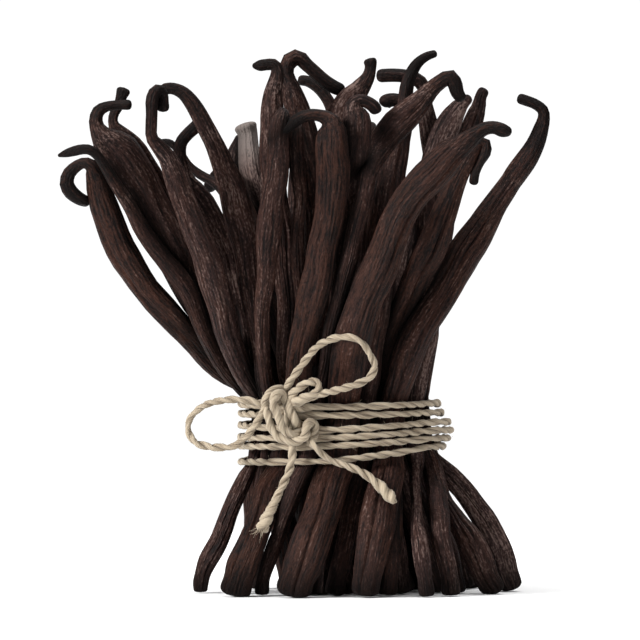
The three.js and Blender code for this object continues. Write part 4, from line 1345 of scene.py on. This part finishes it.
def pressed(strand, near, angle, reach, gap):
    """Cuts the section back to the plane halfway between this pod and each neighbour, placed by the two
    half-widths. The cuts are rounded: powers of all limits are added, which is a smooth minimum. Given back
    are the new section and the direction of each of its places."""
    ray = strand.side[:, None] * np.cos(angle)[..., None] + strand.front[:, None] * np.sin(angle)[..., None]
    total = reach ** -float(PRESS_POWER)
    for other, nearest, way, away in near:
        mine, theirs = strand.half, other.half[nearest]
        close = away < NEIGHBOUR_SHARE * (mine + theirs) + PRESS_ROOM
        close &= np.minimum(mine, theirs) > THINNEST
        if not close.any():
            continue
        plane = (away**2 + mine**2 - theirs**2) / (2 * away) - gap
        plane = np.maximum(plane, CUT_HALF * mine)
        facing = np.einsum("sad,sd->sa", ray, way)
        limit = np.maximum(plane[:, None], 1e-5) / np.maximum(facing, 0.08)
        total = total + np.where(close[:, None], limit ** -float(PRESS_POWER), 0)
    return total ** (-1 / PRESS_POWER), ray


def within_turns(points):
    """Draws points in to the inside of the twine's turns: an oval that is narrowest at the turns and opens
    quickly above and below them."""
    low = WRAP_LOW + LOW_RISE * smooth(points[..., 0], -0.01, 0.03)
    away = np.clip(np.maximum(low - points[..., 2], points[..., 2] - WRAP_HIGH), 0, None)
    limit = 1 + away / TURNS_OPENING[0] + (away / TURNS_OPENING[1]) ** 2
    inner = np.array(WRAP_HALF) - SKIN_UNDER_TURNS
    flat = (points[..., :2] - (WRAP_X, 0)) / inner
    flat[..., 0] /= 1 + right_reach(flat[..., 0], points[..., 2]) / inner[0]
    oval = np.linalg.norm(flat, axis=-1)
    kept = (oval**-TURNS_POWER + limit ** -float(TURNS_POWER)) ** (-1 / TURNS_POWER)
    moved = points.copy()
    moved[..., :2] = (WRAP_X, 0) + (points[..., :2] - (WRAP_X, 0)) * (kept / oval)[..., None]
    return moved


def under_twine(points, line, reach):
    """Dents the skin where a free stretch of the twine lies on it: a point nearer than the reach to the
    twine's line goes straight back until it is clear."""
    flat = points.reshape(-1, 3)
    low, high = line.min(axis=0) - reach, line.max(axis=0) + reach
    near = np.flatnonzero(np.all((flat > low) & (flat < high), axis=1))
    for part in np.array_split(near, max(1, len(near) // 4000)):
        way = flat[part, None] - line[None]
        sideways = way[..., 0] ** 2 + way[..., 2] ** 2
        nearest = np.argmin(sideways + 0.15 * way[..., 1] ** 2, axis=1)
        sideways = sideways[np.arange(len(part)), nearest]
        clear = line[nearest, 1] + np.sqrt(np.clip(reach**2 - sideways, 0, None))
        hit = (sideways < reach**2) & (flat[part, 1] < clear)
        flat[part, 1] = np.where(hit, clear, flat[part, 1])
    return flat.reshape(points.shape)


def on_ground(points):
    """Flattens what is below the ground, with a small round edge: a height becomes the logarithm of 1 plus e
    to that height, both counted in edges."""
    z = points[..., 2] / GROUND_EDGE
    points[..., 2] = GROUND_EDGE * np.where(z > 20, z, np.log1p(np.exp(np.minimum(z, 20))))
    return points


def pod_material(settings):
    """Dark skin with lengthwise streaks: blackish valleys, partly painted shade, plum and warm brown between,
    paler crests with a grey bloom that is partly wear and partly painted highlight, most at the neck, and a
    soft uneven gloss. Stems are darker towards their ends, a withered end is pale, and skin between pods is
    painted nearly black as shade, as is the end of a foot, partly its own colour."""
    material, graph = new_material("cured_pod_skin")
    grain = graph.attribute("grain", "Vector")
    tone, stem, tip, sunk, deep = (graph.attribute(name) for name in ("tone", "stem", "tip", "sunk", "deep"))
    threads = graph.noise(grain, (1250, 1250, 170), detail=4, roughness=0.68)
    streaks = graph.noise(grain, (700, 700, 90), detail=3, roughness=0.6)
    patches = graph.noise(grain, (210, 210, 75), detail=4)
    pores = graph.noise(grain, (1900, 1900, 1000))
    warm = (0.3 * streaks + 0.7 * patches + 0.4 * tone).step(0.4, 1.0)
    cover = 0.75 * threads + 0.3 * streaks + 0.45 * pores + 0.2 * patches - 0.1 * tone
    # Painted shade: the wrinkles' valleys, by sunk, are darker.
    cover = (cover - 0.16 * sunk - 0.04 * stem - 0.15 * tip).step(0.54, 0.89)
    # Painted highlight: crests away from the valleys and at the neck turn paler, on top of the worn bloom
    # from the noise.
    crest = 0.75 * threads + 0.7 * pores + 0.35 * patches - 0.22 * tone - 0.2 * sunk
    crest = (crest + 0.3 * (stem * (1 - stem)) - 0.22 * tip).step(0.78, 1.08)
    withered = (0 - tone).step(0.1, 1.7) * (0.3 + 0.7 * threads)
    skin = graph.mix(warm, colour(settings.plum), colour(settings.brown))
    skin = graph.mix(cover, colour(settings.dark), skin)
    skin = graph.mix(0.85 * crest, skin, colour(settings.bloom_and_highlight))
    skin = graph.mix(withered, skin, colour(settings.pale))
    # Painted shade: skin near other pods and the end of a foot turn near black.
    skin = graph.mix(0.93 * deep, skin, colour(settings.gap_shade_colour))
    bump = graph.bump(0.8 * threads + 0.4 * streaks + 0.5 * pores, 0.00072)
    roughness = 0.38 + 0.2 * streaks + 0.2 * pores + 0.35 * deep
    surface(graph, skin, roughness, bump, {"Specular IOR Level": 0.11})
    return material


def pod_rings(strand, others, sides, settings, twine):
    """The skin's rings, the depth of the fine ridges at each vertex, from 0 on a crest to about 1, and the
    painted shade between pods, with the darker end of the foot."""
    angle = np.linspace(0, 2 * np.pi, sides, endpoint=False)[None, :] + np.zeros((len(strand.along), 1))
    free = section(strand, angle, settings)
    sink, fine = wrinkles(strand, angle, settings)
    near = neighbours(strand, others)
    free = np.maximum(free, 1e-5)
    cut, ray = pressed(strand, near, angle, free, settings.gap)
    kept = np.clip(cut / free, 0, 1)
    reach = np.maximum(cut - sink * np.sqrt(kept), UNSUNK * cut)
    rings = within_turns(strand.places[:, None] + ray * reach[..., None])
    rings = on_ground(under_twine(rings, twine, SKIN_UNDER_TWINE))
    return rings, fine, gap_shade_and_dark_foot(strand, near, rings)


class VANILLA_OT_pods(bpy.types.Operator):
    """Packs the pods and makes their skins, one piece for each side of the bundle"""

    bl_idname = "vanilla.pods"
    bl_label = "Pack the Pods"

    def execute(self, context):
        settings = context.scene.vanilla_pods
        pods = [pod for group in GROUPS.values() for pod in group]
        strands = []
        for i, (pod, (points, widths)) in enumerate(zip(pods, settled(pods))):
            stations = settings.fill_stations if pod.fills else settings.stations
            strands.append(Strand(pod, points, widths, stations, FIRST_SEED + i, settings))
        line = twine_line(ROUTE_STEP)
        low, high = FREE_HEIGHTS
        line = line[(line[:, 1] < FREE_DEPTH) & ((line[:, 2] < low) | (line[:, 2] > high))]
        material = pod_material(settings)
        made = iter(strands)
        for name, group in GROUPS.items():
            parts = MeshParts(name)
            for _ in group:
                strand = next(made)
                others = [other for other in strands if other is not strand]
                sides = settings.fill_sides if strand.pod.fills else settings.sides
                rings, fine, deep = pod_rings(strand, others, sides, settings, line)
                # deep carries the painted shade between pods and the darker end of the foot.
                parts.add_tube(rings, **self.attributes(strand, fine), deep=deep)
            piece = parts.make(material)
            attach(piece, BODY)
            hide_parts("pod_bundle")
        return {"FINISHED"}

    def attributes(self, strand, fine):
        """What the material reads: the pattern's place on the pod as if it were straight, its tone, which is
        below 0 at a withered end, the shares of its stem and its tip, and its ridges, from which it paints
        shade in the valleys and highlight on the crests."""
        angle = np.linspace(0, 2 * np.pi, fine.shape[1], endpoint=False)
        radius = np.maximum(strand.half, THINNEST_PATTERN)[:, None]
        flat = np.zeros_like(fine)
        along = strand.along[:, None] + strand.rng.random() * 7 + flat
        grain = np.stack([radius * np.cos(angle), radius * np.sin(angle), along], axis=-1)
        tone = np.clip(strand.pod.tone + strand.rng.uniform(-TONE_RANGE, TONE_RANGE), 0, 1)
        withering = smooth(strand.along, *(strand.along[-1] - place for place in WITHERED))
        tone = tone + min(strand.pod.tone, 0) * withering
        shares = {"tone": tone, "stem": strand.stem, "tip": strand.tip}
        shares = {key: share[:, None] + flat for key, share in shares.items()}
        return {"grain": grain, **shares, "sunk": fine}


# ---- The core ----

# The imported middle: height, middle X and Y, half-axes, in metres.
CORE = [
    (0.012, 0.001, 0.000, 0.012, 0.010),
    (0.030, 0.000, 0.000, 0.017, 0.014),
    (WAIST_HEIGHT, -0.0010, 0.0, 0.020, 0.017),
    (0.072, -0.0025, 0.001, 0.017, 0.016),
    (0.092, -0.0050, 0.004, 0.013, 0.013),
    (0.104, -0.0050, 0.006, 0.006, 0.006),
]


CORE_RINGS = 40
CORE_SIDES = 48
CORE_RIDGES = 14


def even_rows(rows, count):
    """The columns of a table, read at even steps between its first and last row."""
    table = np.array(rows).T
    at_rows = np.linspace(0, table.shape[1] - 1, count)
    return [np.interp(at_rows, np.arange(table.shape[1]), column) for column in table]


class VANILLA_OT_core(bpy.types.Operator):
    """Fills the middle of the bundle, where no pod can be seen, with a small core painted in the near-black
    shade between pods
    """

    bl_idname = "vanilla.core"
    bl_label = "Fill the Core"

    def execute(self, context):
        z, x, y, half_x, half_y = (column[:, None] for column in even_rows(CORE, CORE_RINGS))
        angle = np.linspace(0, 2 * np.pi, CORE_SIDES, endpoint=False)
        ridges = 1 + 0.05 * np.cos(CORE_RIDGES * angle + 40 * z)
        across = x + half_x * np.cos(angle) * ridges
        rings = np.stack([across, y + half_y * np.sin(angle) * ridges, z + 0 * ridges], axis=-1)
        parts = MeshParts("pods_core")
        zero = np.zeros(rings.shape[:2])
        # The core is painted wholly in the near-black painted shade between pods, as deep is 1.
        parts.add_tube(rings, grain=rings, tone=zero, stem=zero + 1, tip=zero, sunk=zero + 1, deep=zero + 1)
        piece = parts.make(bpy.data.materials["cured_pod_skin"])
        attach(piece, BODY)
        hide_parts("pod_bundle")
        return {"FINISHED"}


# ---- The stage ----

# The lamps: kind, place, size in metres or, for the even light from far above, as an angle, and power.
LAMPS = {
    "key": ("AREA", (-2.6, -1.6, 1.4), 0.8, 172),
    "fill": ("AREA", (2.1, -2.0, 0.9), 1.2, 26),
    "top": ("SUN", (0.0, 0.0, 2.6), math.radians(50), 3.4),
    "back": ("AREA", (0.9, 2.4, 1.6), 1.6, 12),
}
LAMP_AIM = (0, 0, 0.08)
EVEN_LIGHT = 0.02  # from all round
SEEN_WHITE = 1.03  # added where the camera looks past everything


class VANILLA_OT_stage(bpy.types.Operator):
    """Sets up the floor, the light and the camera"""

    bl_idname = "vanilla.stage"
    bl_label = "Set the Stage"

    def execute(self, context):
        settings = context.scene.vanilla_stage
        self.camera(context, settings)
        self.floor(settings)
        self.light(context)
        context.scene.view_settings.view_transform = "Standard"
        return {"FINISHED"}

    def camera(self, context, settings):
        aim = Vector(settings.aim)
        back = Vector((0, -math.cos(settings.elevation), math.sin(settings.elevation)))
        data = bpy.data.cameras.new("camera")
        data.lens = data.sensor_width * settings.distance / settings.width
        camera = bpy.data.objects.new("camera", data)
        camera.location = aim + back * settings.distance
        camera.rotation_euler = (-back).to_track_quat("-Z", "Y").to_euler()
        context.scene.collection.objects.link(camera)
        context.scene.camera = camera

    def floor(self, settings):
        material, graph = new_material("floor_paint")
        speckle = graph.noise(graph.node("ShaderNodeTexCoord", output="Object"), (900, 900, 900))
        surface(graph, colour(settings.floor_colour), 0.7 + 0.1 * speckle, None, {"Specular IOR Level": 0.2})
        half = settings.floor / 2
        mesh = bpy.data.meshes.new("floor")
        corners = [(x * half, y * half, 0) for x, y in ((-1, -1), (1, -1), (1, 1), (-1, 1))]
        mesh.from_pydata(corners, [], [(0, 1, 2, 3)])
        mesh.materials.append(material)
        floor = bpy.data.objects.new("floor", mesh)
        bpy.context.scene.collection.objects.link(floor)

    def light(self, context):
        aim = Vector(LAMP_AIM)
        for name, (kind, place, size, power) in LAMPS.items():
            data = bpy.data.lights.new(name, kind)
            if kind == "SUN":
                data.angle = size
            else:
                data.size = size
            data.energy = power
            lamp = bpy.data.objects.new(name, data)
            lamp.location = place
            lamp.rotation_euler = (aim - Vector(place)).to_track_quat("-Z", "Y").to_euler()
            lamp.visible_camera = False
            context.scene.collection.objects.link(lamp)
        world = bpy.data.worlds.new("studio")
        world.use_nodes = True
        context.scene.world = world
        graph = Graph(world.node_tree)
        seen = graph.node("ShaderNodeLightPath", output="Is Camera Ray")
        sockets = {"Color": (1, 1, 1, 1), "Strength": EVEN_LIGHT + SEEN_WHITE * seen}
        white = graph.node("ShaderNodeBackground", {}, sockets)
        graph.node("ShaderNodeOutputWorld", {}, {"Surface": white})


# ---- Panel, registration and run ----

STEPS = (VANILLA_OT_stage, VANILLA_OT_twine, VANILLA_OT_pods, VANILLA_OT_core)
SETTINGS = {"vanilla_pods": PodSettings, "vanilla_twine": TwineSettings, "vanilla_stage": StageSettings}


class VANILLA_PT_panel(bpy.types.Panel):
    """Lists the steps of making the bundle"""

    bl_idname = "VANILLA_PT_panel"
    bl_label = "Vanilla Pod Bundle"
    bl_space_type = "VIEW_3D"
    bl_region_type = "UI"
    bl_category = "Vanilla"

    def draw(self, context):
        for step in STEPS:
            self.layout.operator(step.bl_idname)
        for key, kind in SETTINGS.items():
            box = self.layout.box()
            for name in kind.__annotations__:
                box.prop(getattr(context.scene, key), name)


CLASSES = (*SETTINGS.values(), *STEPS, VANILLA_PT_panel)


def register():
    for one in CLASSES:
        bpy.utils.register_class(one)
    for key, kind in SETTINGS.items():
        setattr(bpy.types.Scene, key, PointerProperty(type=kind))


def unregister():
    for key in SETTINGS:
        delattr(bpy.types.Scene, key)
    for one in reversed(CLASSES):
        bpy.utils.unregister_class(one)


def main():
    register()
    bpy.ops.vanilla.stage()
    bpy.ops.vanilla.twine()
    bpy.ops.vanilla.pods()
    bpy.ops.vanilla.core()


if __name__ == "__main__":
    main()
